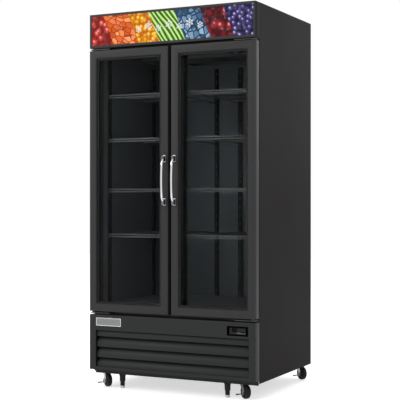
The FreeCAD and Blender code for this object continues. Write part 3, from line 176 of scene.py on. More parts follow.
def sinkFaces(depth):
    # pushes the selected faces in along their normals, with walls round them
    bpy.ops.mesh.extrude_region_shrink_fatten(TRANSFORM_OT_shrink_fatten={"value": -depth})


def applyModifier(piece, kind, **settings):
    useOnly(piece)
    modifier = piece.modifiers.new(kind.lower(), kind)
    for key, setting in settings.items():
        setattr(modifier, key, setting)
    bpy.ops.object.modifier_apply(modifier=modifier.name)
    return piece


def roundEdges(piece, width, segments=3, angle=35):
    return applyModifier(piece, "BEVEL", width=width, segments=segments, limit_method="ANGLE",
                         angle_limit=radians(angle), harden_normals=False)


def smooth(piece, angle=35):
    useOnly(piece)
    bpy.ops.object.shade_smooth_by_angle(angle=radians(angle))
    return piece


def outward(piece):
    enter(piece, "SELECT")
    bpy.ops.mesh.remove_doubles(threshold=0.00002)
    bpy.ops.mesh.normals_make_consistent(inside=False)
    leave()
    return piece


def join(name, parts):
    bpy.ops.object.select_all(action="DESELECT")
    for part in parts:
        part.select_set(True)
    bpy.context.view_layer.objects.active = parts[0]
    bpy.ops.object.join()
    piece = bpy.context.object
    piece.name = name
    return piece


def copyTo(source, name, matrix):
    # a copy with its own mesh, moved in the mesh
    useOnly(source)
    bpy.ops.object.duplicate()
    piece = bpy.context.object
    piece.data = source.data.copy()
    piece.matrix_world = matrix
    return settle(piece, name)


def paint(piece, finish):
    piece.data.materials.clear()
    piece.data.materials.append(finishes[finish])


def dress(piece, finish, stands=(), body="cabinet"):
    # stands are the CAD nodes it stands in for, body is what it moves with
    paint(piece, finish)
    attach(piece, body)
    if stands:
        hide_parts(*stands)
    return piece


# shader helpers: a value can be a number, a colour or another node's output

def feed(tree, socket, source):
    # a single number fills a whole vector or gives a grey
    if isinstance(source, bpy.types.NodeSocket):
        tree.links.new(source, socket)
    elif socket.type in ("VECTOR", "RGBA"):
        parts = source if isinstance(source, tuple) else (source,) * 3
        socket.default_value = (*parts, 1)[:len(socket.default_value)]
    else:
        socket.default_value = source


def addNode(tree, kind, **settings):
    node = tree.nodes.new("ShaderNode" + kind)
    for key, setting in settings.items():
        if key in node.inputs:
            feed(tree, node.inputs[key], setting)
        else:
            setattr(node, key, setting)
    return node


def addNoise(tree, vector, scale, detail, roughness=0.5):
    noise = addNode(tree, "TexNoise", Vector=vector, Scale=scale, Detail=detail,
                    Roughness=roughness)
    return noise.outputs["Fac"]


def calculate(tree, operation, *sources, kind="Math", clamp=False):
    node = addNode(tree, kind, operation=operation)
    if clamp:
        node.use_clamp = True
    for socket, source in zip(node.inputs, sources):
        feed(tree, socket, source)
    return node.outputs[0]


def mapRange(tree, value, fromMin=0.0, fromMax=1.0, toMin=0.0, toMax=1.0):
    node = addNode(tree, "MapRange", Value=value, **{
        "From Min": fromMin, "From Max": fromMax, "To Min": toMin, "To Max": toMax})
    return node.outputs["Result"]


def mixColour(tree, amount, first, second):
    node = addNode(tree, "Mix", data_type="RGBA", Factor=amount)
    feed(tree, node.inputs[6], first)
    feed(tree, node.inputs[7], second)
    return node.outputs[2]


# shader groups: effects that several materials share

def newGroup(name, inputs, outputs):
    # a new group with its inputs' outlets and the node that takes what it puts out
    group = bpy.data.node_groups.new(name, "ShaderNodeTree")
    group.interface.new_socket("Coordinates", in_out="INPUT", socket_type="NodeSocketVector")
    for label, start in inputs.items():
        kind = "NodeSocketFloat" if isinstance(start, float) else "NodeSocketVector"
        socket = group.interface.new_socket(label, in_out="INPUT", socket_type=kind)
        socket.default_value = start
    for label in outputs:
        group.interface.new_socket(label, in_out="OUTPUT", socket_type="NodeSocketFloat")
    return group, group.nodes.new("NodeGroupInput").outputs, group.nodes.new("NodeGroupOutput")


def makePowderCoat():
    # orange peel of a baked powder coat: fine dimples, a slow waviness and a faint change of tone
    group, given, end = newGroup("powderCoat", {"Dimple Size": 420.0, "Waviness": 0.35},
                                 ("Height", "Tone"))
    place = given["Coordinates"]
    blend = addNode(group, "Mix", data_type="FLOAT")
    feed(group, blend.inputs[0], given["Waviness"])
    feed(group, blend.inputs[2], addNoise(group, place, given["Dimple Size"], 2.0))
    feed(group, blend.inputs[3], addNoise(group, place, 14.0, 1.0))
    feed(group, end.inputs["Height"], blend.outputs[0])
    feed(group, end.inputs["Tone"], addNoise(group, place, 2.6, 3.0, 0.55))
    return group


def makeBrushedGrain():
    # long fine scratches along the axis that Stretch leaves small
    group, given, end = newGroup("brushedGrain", {"Stretch": (1.0, 1.0, 1.0)}, ("Height", "Tone"))
    spread = calculate(group, "MULTIPLY", given["Coordinates"], given["Stretch"],
                       kind="VectorMath")
    feed(group, end.inputs["Height"], addNoise(group, spread, 1.0, 4.0, 0.7))
    feed(group, end.inputs["Tone"], addNoise(group, spread, 0.12, 2.0))
    return group


def makeMouldGrain():
    # spark-eroded texture of moulded plastic
    group, given, end = newGroup("mouldGrain", {"Grain Size": 900.0}, ("Height", "Tone"))
    place = given["Coordinates"]
    cells = addNode(group, "TexVoronoi", feature="SMOOTH_F1", Vector=place,
                    Scale=given["Grain Size"])
    feed(group, end.inputs["Height"], cells.outputs["Distance"])
    feed(group, end.inputs["Tone"], addNoise(group, place, 30.0, 2.0))
    return group


def makeSettledDust():
    # thin dust on what faces up, broken by noise
    group, given, end = newGroup("settledDust", {"Amount": 0.1}, ("Mask",))
    normal = addNode(group, "NewGeometry").outputs["Normal"]
    upward = mapRange(group, addNode(group, "SeparateXYZ", Vector=normal).outputs["Z"], 0.35)
    patches = addNoise(group, given["Coordinates"], 22.0, 5.0, 0.65)
    both = calculate(group, "MULTIPLY", upward, patches)
    feed(group, end.inputs["Mask"],
         calculate(group, "MULTIPLY", both, given["Amount"], clamp=True))
    return group


powderCoat = makePowderCoat()
brushedGrain = makeBrushedGrain()
mouldGrain = makeMouldGrain()
settledDust = makeSettledDust()
print("shader groups made")


# materials

dustColour = (0.32, 0.31, 0.29)
lampGlow = (0.95, 0.97, 1.0)

# what each kind of surface takes from its group: the outlet that varies its roughness, how far,
# its bump's strength and the bump's depth in metres
surfaceKinds = {
    "paint": {"group": powderCoat, "by": "Tone", "vary": 0.06, "bump": 0.25,
              "depth": 0.0004},
    "metal": {"group": brushedGrain, "by": "Height", "vary": 0.08, "bump": 0.08,
              "depth": 0.0002},
    "plastic": {"group": mouldGrain, "by": "Tone", "vary": 0.06, "shift": 0.01, "bump": 0.15,
                "depth": 0.0002},
}
groupSockets = {"dimples": "Dimple Size", "stretch": "Stretch", "grain": "Grain Size"}
shaderSockets = {"roughness": "Roughness", "metallic": "Metallic",
                 "specular": "Specular IOR Level", "ior": "IOR",
                 "clear": "Transmission Weight", "glow": "Emission Strength"}


def newMaterial(name, look):
    material = bpy.data.materials.new(name)
    material.use_nodes = True
    tree = material.node_tree
    shader = tree.nodes["Principled BSDF"]
    for key, label in shaderSockets.items():
        if key in look:
            shader.inputs[label].default_value = look[key]
    return material, tree, shader, addNode(tree, "TexCoord").outputs["Object"]


def addGroup(tree, group, place, values):
    node = addNode(tree, "Group", node_tree=group)
    for label, source in {"Coordinates": place, **values}.items():
        feed(tree, node.inputs[label], source)
    return node.outputs


def colourFrom(tree, shader, place, mask, look):
    # two close colours mixed by a mask, with dust over them where the look has some
    colour = mixColour(tree, mask, look["colour"], look["second"])
    if "dust" in look:
        dust = addGroup(tree, settledDust, place, {"Amount": look["dust"]})
        colour = mixColour(tree, dust["Mask"], colour, dustColour)
    feed(tree, shader.inputs["Base Color"], colour)


def roughFrom(tree, shader, mask, low, high):
    feed(tree, shader.inputs["Roughness"], mapRange(tree, mask, toMin=low, toMax=high))


def bumpFrom(tree, shader, height, strength, depth):
    bump = addNode(tree, "Bump", Height=height, Strength=strength, Distance=depth)
    feed(tree, shader.inputs["Normal"], bump.outputs["Normal"])


def surfaceFinish(name, look):
    kind = surfaceKinds[look["kind"]]
    material, tree, shader, place = newMaterial(name, look)
    skin = addGroup(tree, kind["group"], place, {
        label: look[key] for key, label in groupSockets.items() if key in look})
    colourFrom(tree, shader, place, skin["Tone"], look)
    middle, vary = look["roughness"] + kind.get("shift", 0), look.get("vary", kind["vary"])
    roughFrom(tree, shader, skin[kind["by"]], middle - vary, middle + vary)
    bumpFrom(tree, shader, skin["Height"], look.get("bump", kind["bump"]), kind["depth"])
    return material


def glassFinish(name, look):
    material, tree, shader, place = newMaterial(name, look)
    smears = addNoise(tree, place, 9.0, 3.0)
    colourFrom(tree, shader, place, smears, look)
    roughFrom(tree, shader, smears, 0.0, look["roughness"])
    return material


def finFinish(name, look):
    # pressed fins at a close pitch, over the blocks' own slots: the colour is dark between the
    # fins, which paints the shade in the gaps, and light on their thin edges
    material, tree, shader, place = newMaterial(name, look)
    grain = addGroup(tree, brushedGrain, place, {"Stretch": look["stretch"]})
    fins = addNode(tree, "TexWave", bands_direction="X", Vector=place, Scale=look["fins"],
                   Distortion=0.4).outputs["Fac"]
    # the fin pattern darkens the colour between the fins: painted shade
    colourFrom(tree, shader, place, fins, look)
    roughFrom(tree, shader, grain["Tone"], look["roughness"] - 0.1, look["roughness"] + 0.1)
    bumpFrom(tree, shader, fins, look["bump"], look["finDepth"])
    return material


def lampFinish(name, look):
    material, tree, shader, place = newMaterial(name, look)
    colourFrom(tree, shader, place, addNoise(tree, place, 60.0, 1.0), look)
    feed(tree, shader.inputs["Emission Color"], lampGlow)
    return material


def makeFinish(name, kind, colour, second, roughness, more=()):
    maker = {"glass": glassFinish, "fins": finFinish, "lamp": lampFinish}.get(kind, surfaceFinish)
    return maker(name, {"kind": kind, "colour": colour, "second": second,
                        "roughness": roughness, **dict(more)})


# kind, two close colours, roughness, and what else the look needs
finishLooks = {
    "doorPaint": ("paint", (0.03, 0.0305, 0.03), (0.037, 0.0375, 0.037), 0.5, {"specular": 0.16,
        "bump": 0.16, "dust": 0.05}),
    # the lower panel has the door paint made darker: painted shade
    "panelPaint": ("paint", (0.0225, 0.024, 0.024), (0.028, 0.0298, 0.0298), 0.5,
        {"specular": 0.14, "bump": 0.16, "dust": 0.05}),
    # the case has the black paint made darker: painted shade on its sides, which face away from the
    # lamps
    "casePaint": ("paint", (0.0122, 0.0107, 0.0105), (0.0152, 0.0134, 0.0131), 0.62,
        {"specular": 0.05, "bump": 0.22, "dust": 0.03}),
    "chassisPaint": ("paint", 0.02, (0.03, 0.029, 0.028), 0.6, {"specular": 0.2, "bump": 0.2,
        "dust": 0.25}),
    "hingePaint": ("paint", 0.018, 0.026, 0.45, {"specular": 0.4, "bump": 0.1}),
    "linerPaint": ("paint", (0.072, 0.078, 0.086), (0.086, 0.092, 0.101), 0.5, {"specular": 0.15,
        "bump": 0.1}),
    "potPaint": ("paint", 0.012, 0.018, 0.3, {"bump": 0.3, "dust": 0.35}),
    "shelfPaint": ("paint", (0.075, 0.077, 0.079), (0.09, 0.092, 0.094), 0.5, {"specular": 0.2,
        "dimples": 900, "bump": 0.12}),
    "backSteel": ("metal", (0.38, 0.39, 0.4), (0.5, 0.51, 0.52), 0.42, {"metallic": 0.9,
        "stretch": 60, "vary": 0.14, "dust": 0.2}),
    "plateMetal": ("metal", (0.16, 0.165, 0.165), (0.24, 0.245, 0.245), 0.36, {"metallic": 1,
        "stretch": (60, 900, 2400)}),
    "plateRim": ("metal", (0.5, 0.51, 0.51), (0.62, 0.63, 0.63), 0.22, {"metallic": 1,
        "stretch": 200}),
    "railMetal": ("metal", (0.009, 0.009, 0.01), (0.014, 0.014, 0.015), 0.5, {"specular": 0.15,
        "stretch": 300}),
    "coverMetal": ("metal", 0.05, 0.065, 0.5, {"metallic": 0.2, "stretch": (40, 600, 600)}),
    "zincPlate": ("metal", (0.34, 0.35, 0.36), (0.52, 0.53, 0.54), 0.3, {"metallic": 1,
        "stretch": 220, "vary": 0.1}),
    "copper": ("metal", (0.62, 0.3, 0.17), (0.42, 0.2, 0.12), 0.35, {"metallic": 1, "stretch": 90,
        "dust": 0.1}),
    # the posts are the same chrome as the grip; this darker copy paints the dark reflections they
    # show
    "smokedChrome": ("metal", (0.13, 0.13, 0.155), (0.2, 0.2, 0.23), 0.16, {"metallic": 1,
        "stretch": 300, "vary": 0.03, "bump": 0.01}),
    "chrome": ("metal", (0.62, 0.63, 0.65), (0.72, 0.73, 0.74), 0.08, {"metallic": 1,
        "stretch": (300, 300, 40), "vary": 0.02, "bump": 0.01}),
    "coilFins": ("fins", (0.2, 0.2, 0.21), (0.62, 0.63, 0.64), 0.4, {"metallic": 0.8, "fins": 90,
        "stretch": (40, 40, 500), "bump": 0.8, "finDepth": 0.002, "dust": 0.4}),
    "breakerPlastic": ("plastic", (0.026, 0.026, 0.027), (0.034, 0.034, 0.035), 0.5,
        {"specular": 0.3}),
    "housingPlastic": ("plastic", 0.003, 0.005, 0.4, {"specular": 0.05, "grain": 1500,
        "bump": 0.05}),
    "displayLens": ("plastic", (0.004, 0.003, 0.003), (0.009, 0.006, 0.006), 0.14,
        {"specular": 0.2, "grain": 200, "bump": 0.01}),
    # a near-black sheet behind the louvre blades, which paints the shade in their gaps
    "filterFelt": ("plastic", 0.004, 0.008, 0.85, {"specular": 0.05, "grain": 700, "bump": 0.6}),
    "fanPlastic": ("plastic", (0.02, 0.02, 0.021), (0.032, 0.032, 0.033), 0.4, {"dust": 0.3}),
    "wheelPlastic": ("plastic", 0.006, 0.011, 0.45, {"specular": 0.14, "grain": 700}),
    "hubPlastic": ("plastic", (0.045, 0.045, 0.047), (0.065, 0.065, 0.067), 0.4, {"specular": 0.2}),
    "leverPlastic": ("plastic", 0.01, 0.018, 0.42, {"specular": 0.2}),
    "sleevePlastic": ("plastic", 0.007, 0.013, 0.45, {"specular": 0.16}),
    "footPlastic": ("plastic", (0.74, 0.75, 0.76), 0.84, 0.3),
    "gasketRubber": ("plastic", 0.014, 0.02, 0.6, {"specular": 0.3, "grain": 500}),
    "spacerTape": ("plastic", 0.006, 0.01, 0.55, {"specular": 0.2}),
    "keyPlastic": ("plastic", (0.022, 0.022, 0.024), (0.032, 0.032, 0.034), 0.45,
        {"specular": 0.15}),
    "foamCell": ("plastic", (0.72, 0.62, 0.4), (0.8, 0.72, 0.5), 0.9, {"specular": 0.1,
        "grain": 400, "bump": 0.8}),
    "linePrint": ("plastic", (0.42, 0.43, 0.44), (0.5, 0.51, 0.52), 0.4),
    "whitePrint": ("plastic", (0.86, 0.88, 0.9), (0.93, 0.94, 0.95), 0.3),
    "doorGlass": ("glass", (0.93, 0.95, 0.95), (0.96, 0.97, 0.97), 0.01, {"ior": 1.05, "clear": 1}),
    "lampCover": ("lamp", (0.85, 0.86, 0.86), 0.92, 0.3, {"glow": 0.15}),
}
finishes = {name: makeFinish(name, *look) for name, look in finishLooks.items()}
print("materials made:", len(finishes))

# middle of each caster's kingpin, and the turn that all four have in the photograph
casterSpots = {"front_left": (-0.446, -0.303), "front_right": (0.394, -0.303),
               "rear_left": (-0.4446, 0.390), "rear_right": (0.4446, 0.390)}
casterTurn = radians(-35)

# which carried-over CAD nodes have each finish
finishNodes = {
    "casePaint": ["outer_case"], "backSteel": ["back_panel"], "linerPaint": ["inner_liner"],
    "foamCell": ["foam_insulation"], "breakerPlastic": ["face_frame"],
    "chassisPaint": ["base_frame", "fan_motors", "condenser_shroud"],
    "housingPlastic": ["controller_housing", "electrical_box"], "lampCover": ["led_lamps"],
    "coverMetal": ["evaporator_cover"], "coilFins": ["evaporator_coil", "condenser_coil"],
    "railMetal": ["shelf_standards", "shelf_clips"],
    "shelfPaint": ["left_shelves", "right_shelves"], "potPaint": ["compressor"],
    "fanPlastic": ["drain_pan", "left_evaporator_fan", "right_evaporator_fan", "condenser_fan"],
    "copper": ["refrigerant_tubes"], "hingePaint": ["hinge_brackets"],
    "spacerTape": ["left_glass_spacer", "right_glass_spacer"],
    "zincPlate": ["caster_plates"] + [corner + "_caster_fork" for corner in casterSpots],
    "leverPlastic": [corner + "_caster_brake_lever" for corner in casterSpots],
    "sleevePlastic": ["leg_sleeves"],
    "keyPlastic": ["key_up", "key_down", "key_set", "key_defrost"],
}
for finish, names in finishNodes.items():
    for name in names:
        paint(nodes[name], finish)
print("nodes finished:", sum(len(names) for names in finishNodes.values()))


# lower panel: one folded sheet, four curved louvre blades and a near-black pleated sheet behind
# them, which paints the shade seen through the gaps

panelShape = {
    "sheet": 0.0018, "edge": 0.0014, "fold": 0.012,
    "window": (-0.462, 0.462, 0.120, 0.322),       # left, right, bottom, top
    "cutout": (0.3435, 0.4535, 0.3395, 0.3815),    # opening behind the controller's bezel
    "blades": (0.286, 0.228, 0.170, 0.112), "bladeEnd": 0.459, "bladeSheet": 0.0012,
    "bladeEdge": 0.0003,
    # the blade's section from the turned-in lip at the bottom to the hidden top: y, height
    "section": ((-0.3660, 0.0035), (-0.3740, 0.0005), (-0.3782, 0.0020), (-0.3792, 0.0080),
                (-0.3788, 0.0180), (-0.3765, 0.0280), (-0.3715, 0.0370), (-0.3640, 0.0445),
                (-0.3550, 0.0510), (-0.3500, 0.0580)),
    "filter": (-0.470, 0.470, 0.108, 0.330), "backingPlane": -0.3475, "backingThick": 0.004,
    "pleats": 23, "pleatRim": 0.0018, "pleatDepth": 0.0015,
    "seal": ((-0.494, -0.3396, 0.3960), (0.494, -0.3340, 0.4098)), "sealEdge": 0.0018,
}


def makePanel(look):
    low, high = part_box("lower_grille")
    panel = addBlock("lowerPanel", low, high)
    left, right, bottom, top = look["window"]
    cutLeft, cutRight, cutBottom, cutTop = look["cutout"]
    cutAt(panel, (1, 0, 0), left, cutLeft, cutRight, right)
    cutAt(panel, (0, 0, 1), bottom, top, cutBottom, cutTop)
    dropFaces(panel, lambda at, way: way.y > square or (
        facesFront(at, way) and (within(at, look["window"]) or within(at, look["cutout"]))))
    # the window's rim folds inward
    pick(panel, lambda at, way: at.y < low.y + 0.0001 and within(at, look["window"], 0.0001) and (
        near(at.x, left) or near(at.x, right) or near(at.z, bottom) or near(at.z, top)), "EDGE")
    extrudeEdges((0, look["fold"], 0))
    leave()
    outward(panel)
    applyModifier(panel, "SOLIDIFY", thickness=look["sheet"], offset=-1.0)
    return smooth(roundEdges(panel, look["edge"]))


def makeBlade(look, level):
    # a strip from the first two points of the section, carried on edge by edge
    section = [(y, level + z) for y, z in look["section"]]
    (y0, z0), (y1, z1) = section[:2]
    across, rise = y1 - y0, z1 - z0
    bpy.ops.mesh.primitive_plane_add(size=1)
    blade = bpy.context.object
    blade.data.transform(Matrix((
        (2 * look["bladeEnd"], 0, 0, 0), (0, across, -rise, (y0 + y1) / 2),
        (0, rise, across, (z0 + z1) / 2), (0, 0, 0, 1))))
    last = Vector((0, y1, z1))
    for y, z in section[2:]:
        pick(blade, lambda at, line: abs(line.x) > square and near((at - last).length, 0, 0.00005),
             "EDGE")
        extrudeEdges((0, y - last.y, z - last.z))
        leave()
        last = Vector((0, y, z))
    applyModifier(blade, "SOLIDIFY", thickness=look["bladeSheet"], offset=0.0)
    return smooth(roundEdges(outward(blade), look["bladeEdge"], 2, 60), 40)


def makeShadeBacking(look):
    # a near-black pleated sheet behind the blades: painted shade, so that the gaps between the
    # blades read dark
    left, right, bottom, top = look["filter"]
    front = look["backingPlane"]
    felt = addBlock("shadeBacking", (left, front, bottom), (right, front + look["backingThick"], top))
    pick(felt, facesFront)
    bpy.ops.mesh.subdivide(number_cuts=look["pleats"])
    bpy.ops.mesh.inset(thickness=look["pleatRim"], depth=-look["pleatDepth"], use_individual=True)
    leave()
    return smooth(felt)


blades = [makeBlade(panelShape, level) for level in panelShape["blades"]]
# the panel and its blades take the darker copy of the door paint, which paints shade on them
dress(join("louvrePanel", [makePanel(panelShape)] + blades), "panelPaint",
      ["lower_grille"])
# the near-black sheet behind the blades paints the shade in the gaps
dress(makeShadeBacking(panelShape), "filterFelt")
# a foam seal under the cabinet floor closes the gap above the panel
seal = roundEdges(addBlock("sillSeal", *panelShape["seal"]), panelShape["sealEdge"])
dress(smooth(seal), "gasketRubber")
print("lower panel made")


# doors: frame with a glazing bead, folded gasket and bowed handle

doorShape = {
    "rail": 0.040, "edge": 0.0016,
    "bead": {"in": 0.0385, "front": 0.0012, "back": 0.0050, "rail": 0.0042, "edge": 0.0010},
    "gasket": {"wide": 0.014, "fold": 0.0032, "groove": 0.0016, "edge": 0.0009},
}


def makeDoorFrame(side, look):
    low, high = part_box(side + "_door_frame")
    name = side + "DoorFrame"
    door = ringBlock(name, low, high, look["rail"])
    roundEdges(door, look["edge"], 3, 60)
    bead = look["bead"]
    inset = bead["in"]
    strip = ringBlock("bead", (low.x + inset, low.y + bead["front"], low.z + inset),
                      (high.x - inset, low.y + bead["back"], high.z - inset), bead["rail"])
    roundEdges(strip, bead["edge"], 2, 60)
    return smooth(join(name, [door, strip]))


def makeGasket(side, look):
    # a ring with a shallow groove round its front and its back
    low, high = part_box(side + "_door_gasket")
    gasket = ringBlock(side + "Gasket", low, high, look["wide"])
    insetFaces(gasket, facesFrontOrBack, look["fold"])
    sinkFaces(look["groove"])
    leave()
    return smooth(roundEdges(outward(gasket), look["edge"], 3, 60))


# "face" is the plane of the door's front, "stand" how far the grip's outside is from it
handleShape = {
    "level": 1.1465, "stand": 0.034,
    "grip": {"width": 0.011, "thick": 0.0075, "half": 0.097, "bow": 0.006, "steps": 10,
             "edge": 0.0030},
    "post": {"width": 0.0142, "inner": 0.0995, "outer": 0.1325, "reach": 0.0235,
             "taper": (0.94, 1, 0.90), "rim": 0.0026, "wall": 0.0006, "sink": 0.0012,
             "edge": 0.0011},
    "foot": {"past": 0.0004, "grow": 0.0014, "thick": 0.0018, "rim": 0.0010, "crown": 0.0006,
             "edge": 0.0005},
    "link": {"width": 0.0092, "lap": 0.004, "start": 0.006, "front": 0.0012, "back": 0.0006,
             "steps": (0.0070, 0.0060), "rise": 0.0085, "edge": 0.0016},
}


def makeGrip(look, middle, face):
    grip = look["grip"]
    half, wide, level = grip["half"], grip["width"] / 2, look["level"]
    outer = face - look["stand"]
    bar = addBlock("grip", (middle - wide, outer, level - half),
                   (middle + wide, outer + grip["thick"], level + half))
    steps = grip["steps"]
    stations = [level + half * (2 * i / steps - 1) for i in range(1, steps)]
    cutAt(bar, (0, 0, 1), *stations)
    for station in stations:
        share = (station - level) / half
        pick(bar, lambda at, line: abs(line.z) < 0.1 and near(at.z, station, 0.0005), "EDGE")
        bpy.ops.transform.translate(value=(0, -grip["bow"] * (1 - share * share), 0))
        leave()
    return smooth(roundEdges(bar, grip["edge"], 4, 50), 50)


def makePost(look, middle, face, bottom, top):
    # it stands on the door and has a dished outer face
    wide = look["width"] / 2
    post = addBlock("post", (middle - wide, face - look["reach"], bottom),
                    (middle + wide, face, top))
    pick(post, facesFront)
    bpy.ops.transform.resize(value=look["taper"])
    bpy.ops.mesh.inset(thickness=look["rim"], depth=0)
    bpy.ops.mesh.inset(thickness=look["wall"], depth=-look["sink"])
    leave()
    return smooth(roundEdges(post, look["edge"], 3, 40))


def makePostFoot(look, middle, wide, face, bottom, top):
    wide, grow = wide + look["past"], look["grow"]
    foot = addBlock("foot", (middle - wide, face - look["thick"], bottom - grow),
                    (middle + wide, face, top + grow))
    insetFaces(foot, facesFront, look["rim"], look["crown"])
    leave()
    return smooth(roundEdges(foot, look["edge"], 2, 40))


def makeLink(look, middle, sign):
    # slants from the grip's end to the post; outer and inner are the grip's two planes
    wide = look["width"] / 2
    ends = sorted((look["end"], look["end"] + sign * look["start"]))
    link = addBlock("link", (middle - wide, look["outer"] + look["front"], ends[0]),
                    (middle + wide, look["inner"] - look["back"], ends[1]))
    pick(link, lambda at, way: way.z * sign > square)
    for step in look["steps"]:
        extrude((0, step, sign * look["rise"]))
    leave()
    return smooth(roundEdges(link, look["edge"], 3, 25))


def makeHandleEnd(look, middle, face, sign):
    # the post, its foot and its link at the grip's lower or upper end
    grip, post, level = look["grip"], look["post"], look["level"]
    bottom, top = sorted((level + sign * post["inner"], level + sign * post["outer"]))
    outer = face - look["stand"]
    link = {**look["link"], "end": level + sign * (grip["half"] - look["link"]["lap"]),
            "outer": outer, "inner": outer + grip["thick"]}
    return (makePost(post, middle, face, bottom, top),
            makePostFoot(look["foot"], middle, post["width"] / 2, face, bottom, top),
            makeLink(link, middle, sign))


for side in sides:
    body = side + "_door"
    dress(makeDoorFrame(side, doorShape), "doorPaint", [side + "_door_frame"], body)
    dress(makeGasket(side, doorShape["gasket"]), "gasketRubber",
          [side + "_door_gasket"], body)
    low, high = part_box(side + "_door_handle")
    middle, face = (low.x + high.x) / 2, high.y
    grip = makeGrip(handleShape, middle, face)
    lowPost, lowFoot, lowLink = makeHandleEnd(handleShape, middle, face, -1)
    highPost, highFoot, highLink = makeHandleEnd(handleShape, middle, face, 1)
    dress(join(side + "HandleGrip", [grip, lowFoot, highFoot, lowLink, highLink]), "chrome",
          [side + "_door_handle"], body)
    # the posts are chrome; their darker copy of it is a painted reflection of dark surroundings
    dress(join(side + "HandlePosts", [lowPost, highPost]), "smokedChrome", (), body)
print("doors made")


# the panes of the two glass units, their edges ground flat

paneShape = {"thick": 0.004, "grind": 0.0006}


def makePanes(side, look):
    low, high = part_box(side + "_door_glass")
    panes = []
    for front in (low.y, high.y - look["thick"]):
        pane = addBlock("pane", (low.x, front, low.z), (high.x, front + look["thick"], high.z))
        panes.append(roundEdges(pane, look["grind"], 1))
    return join(side + "Panes", panes)


for side in sides:
    dress(makePanes(side, paneShape), "doorGlass", [side + "_door_glass"],
          side + "_door")
print("panes made")


# screws: a domed head with a six-lobed recess, set wherever the CAD has one

screwShape = {
    "radius": 0.0045, "height": 0.0018, "shoulder": 0.22, "drop": 0.45, "recess": 0.0024,
    "lobes": 6, "pull": 0.78, "deep": 0.0009, "core": 0.0004
}


def makeScrew(look):
    # standing on the origin with its head up; each copy is scaled to the CAD screw's size
    radius, height, recess = look["radius"], look["height"], look["recess"]
    head = addDrum("screwHead", radius, height, 24, (0, 0, height / 2))
    insetFaces(head, lambda at, way: way.z > square, radius * look["shoulder"])
    leave()
    pick(head, lambda at, way: way.z > square and hypot(at.x, at.y) < 0.0001)
    bpy.ops.mesh.inset(thickness=radius * (1 - look["shoulder"]) - recess, depth=0)
    leave()
    # the rim drops below the middle, which makes the dome
    pick(head, lambda at, line: near(at.z, height, 0.00001)
         and hypot(at.x, at.y) > radius * 0.97, "EDGE")
    bpy.ops.transform.translate(value=(0, 0, -height * look["drop"]))
    leave()
    span = 180 / look["lobes"]
    for lobe in range(look["lobes"]):
        start = 2 * span * lobe
        pick(head, lambda at, line: near(hypot(at.x, at.y), recess)
             and at.z > height - 0.00001
             and start < degrees(atan2(at.y, at.x)) % 360 < start + span, "EDGE")
        bpy.ops.transform.resize(value=(look["pull"], look["pull"], 1),
                                 center_override=(0, 0, height))
        leave()
    pick(head, lambda at, way: way.z > square and hypot(at.x, at.y) < look["core"])
    extrude((0, 0, -look["deep"]))
    leave()
    return smooth(head, 40)


def looseBoxes(node):
    # the corners of each separate solid of a node
    useOnly(nodes[node])
    bpy.ops.object.duplicate()
    spare = bpy.context.object
    spare.data = spare.data.copy()
    enter(spare, "SELECT")
    bpy.ops.mesh.remove_doubles(threshold=0.00001)
    bpy.ops.mesh.separate(type="LOOSE")
    leave()
    boxes = []
    for loose in list(bpy.context.selected_objects):
        points = [v.co for v in loose.data.vertices]
        boxes.append([Vector([edge(p[i] for p in points) for i in range(3)])
                      for edge in (min, max)])
        bpy.data.objects.remove(loose)
    return sorted(boxes, key=lambda box: [round(v, 4) for v in box[0]])


screw = makeScrew(screwShape)
screws = []
for low, high in looseBoxes("panel_screws"):
    size, middle = high - low, (low + high) / 2
    flat = min(range(3), key=lambda i: size[i])
    across = (size[(flat + 1) % 3] + size[(flat + 2) % 3]) / 2
    # the head faces away from the cabinet's middle, or down under the base
    out = -1 if flat == 2 else (1 if middle[flat] > 0 else -1)
    way = Vector([out if i == flat else 0 for i in range(3)])
    foot = middle - way * size[flat] / 2
    scale = Matrix.Diagonal((across / (2 * screwShape["radius"]),) * 2
                            + (size[flat] / screwShape["height"], 1))
    turn = way.to_track_quat("Z", "Y").to_matrix().to_4x4()
    screws.append(copyTo(screw, "screw", Matrix.Translation(foot) @ turn @ scale))
bpy.data.objects.remove(screw)
dress(join("screwHeads", screws), "zincPlate", ["panel_screws"])
print("screws made:", len(screws))


# levelling feet: a ribbed cup on a stem

footShape = {
    "cup": 0.0125, "height": 0.013, "stem": 0.006, "grooves": (0.0045, 0.0085),
    "grooveWide": 0.0012, "deep": 0.0006, "edge": 0.0005
}


def makeFoot(side, look):
    low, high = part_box(side + "_levelling_foot")
    middle = (low + high) / 2
    cup, height, wide = look["cup"], look["height"], look["grooveWide"]
    foot = addDrum(side + "FootCup", cup, height, 48, (middle.x, middle.y, low.z + height / 2))
    for level in look["grooves"]:
        cutAt(foot, (0, 0, 1), low.z + level, low.z + level + wide)
        groove = low.z + level + wide / 2
        pick(foot, lambda at, way: abs(way.z) < 0.1 and near(at.z, groove, 0.0002))
        sinkFaces(look["deep"])
        leave()
    insetFaces(foot, lambda at, way: way.z > square and at.z > low.z + height - 0.0001,
               cup - look["stem"])
    extrude((0, 0, high.z - low.z - height))
    leave()
    return smooth(roundEdges(outward(foot), look["edge"], 2, 50))


for side in sides:
    dress(makeFoot(side, footShape), "footPlastic", [side + "_levelling_foot"],
          side + "_foot")
print("feet made")


# canopy round the sign

canopyShape = {
    "sideRim": 0.0125, "bottomRim": 0.014, "topRim": 0.013, "pocket": 0.0052, "edge": 0.0016,
    "sideFrom": 0.49
}


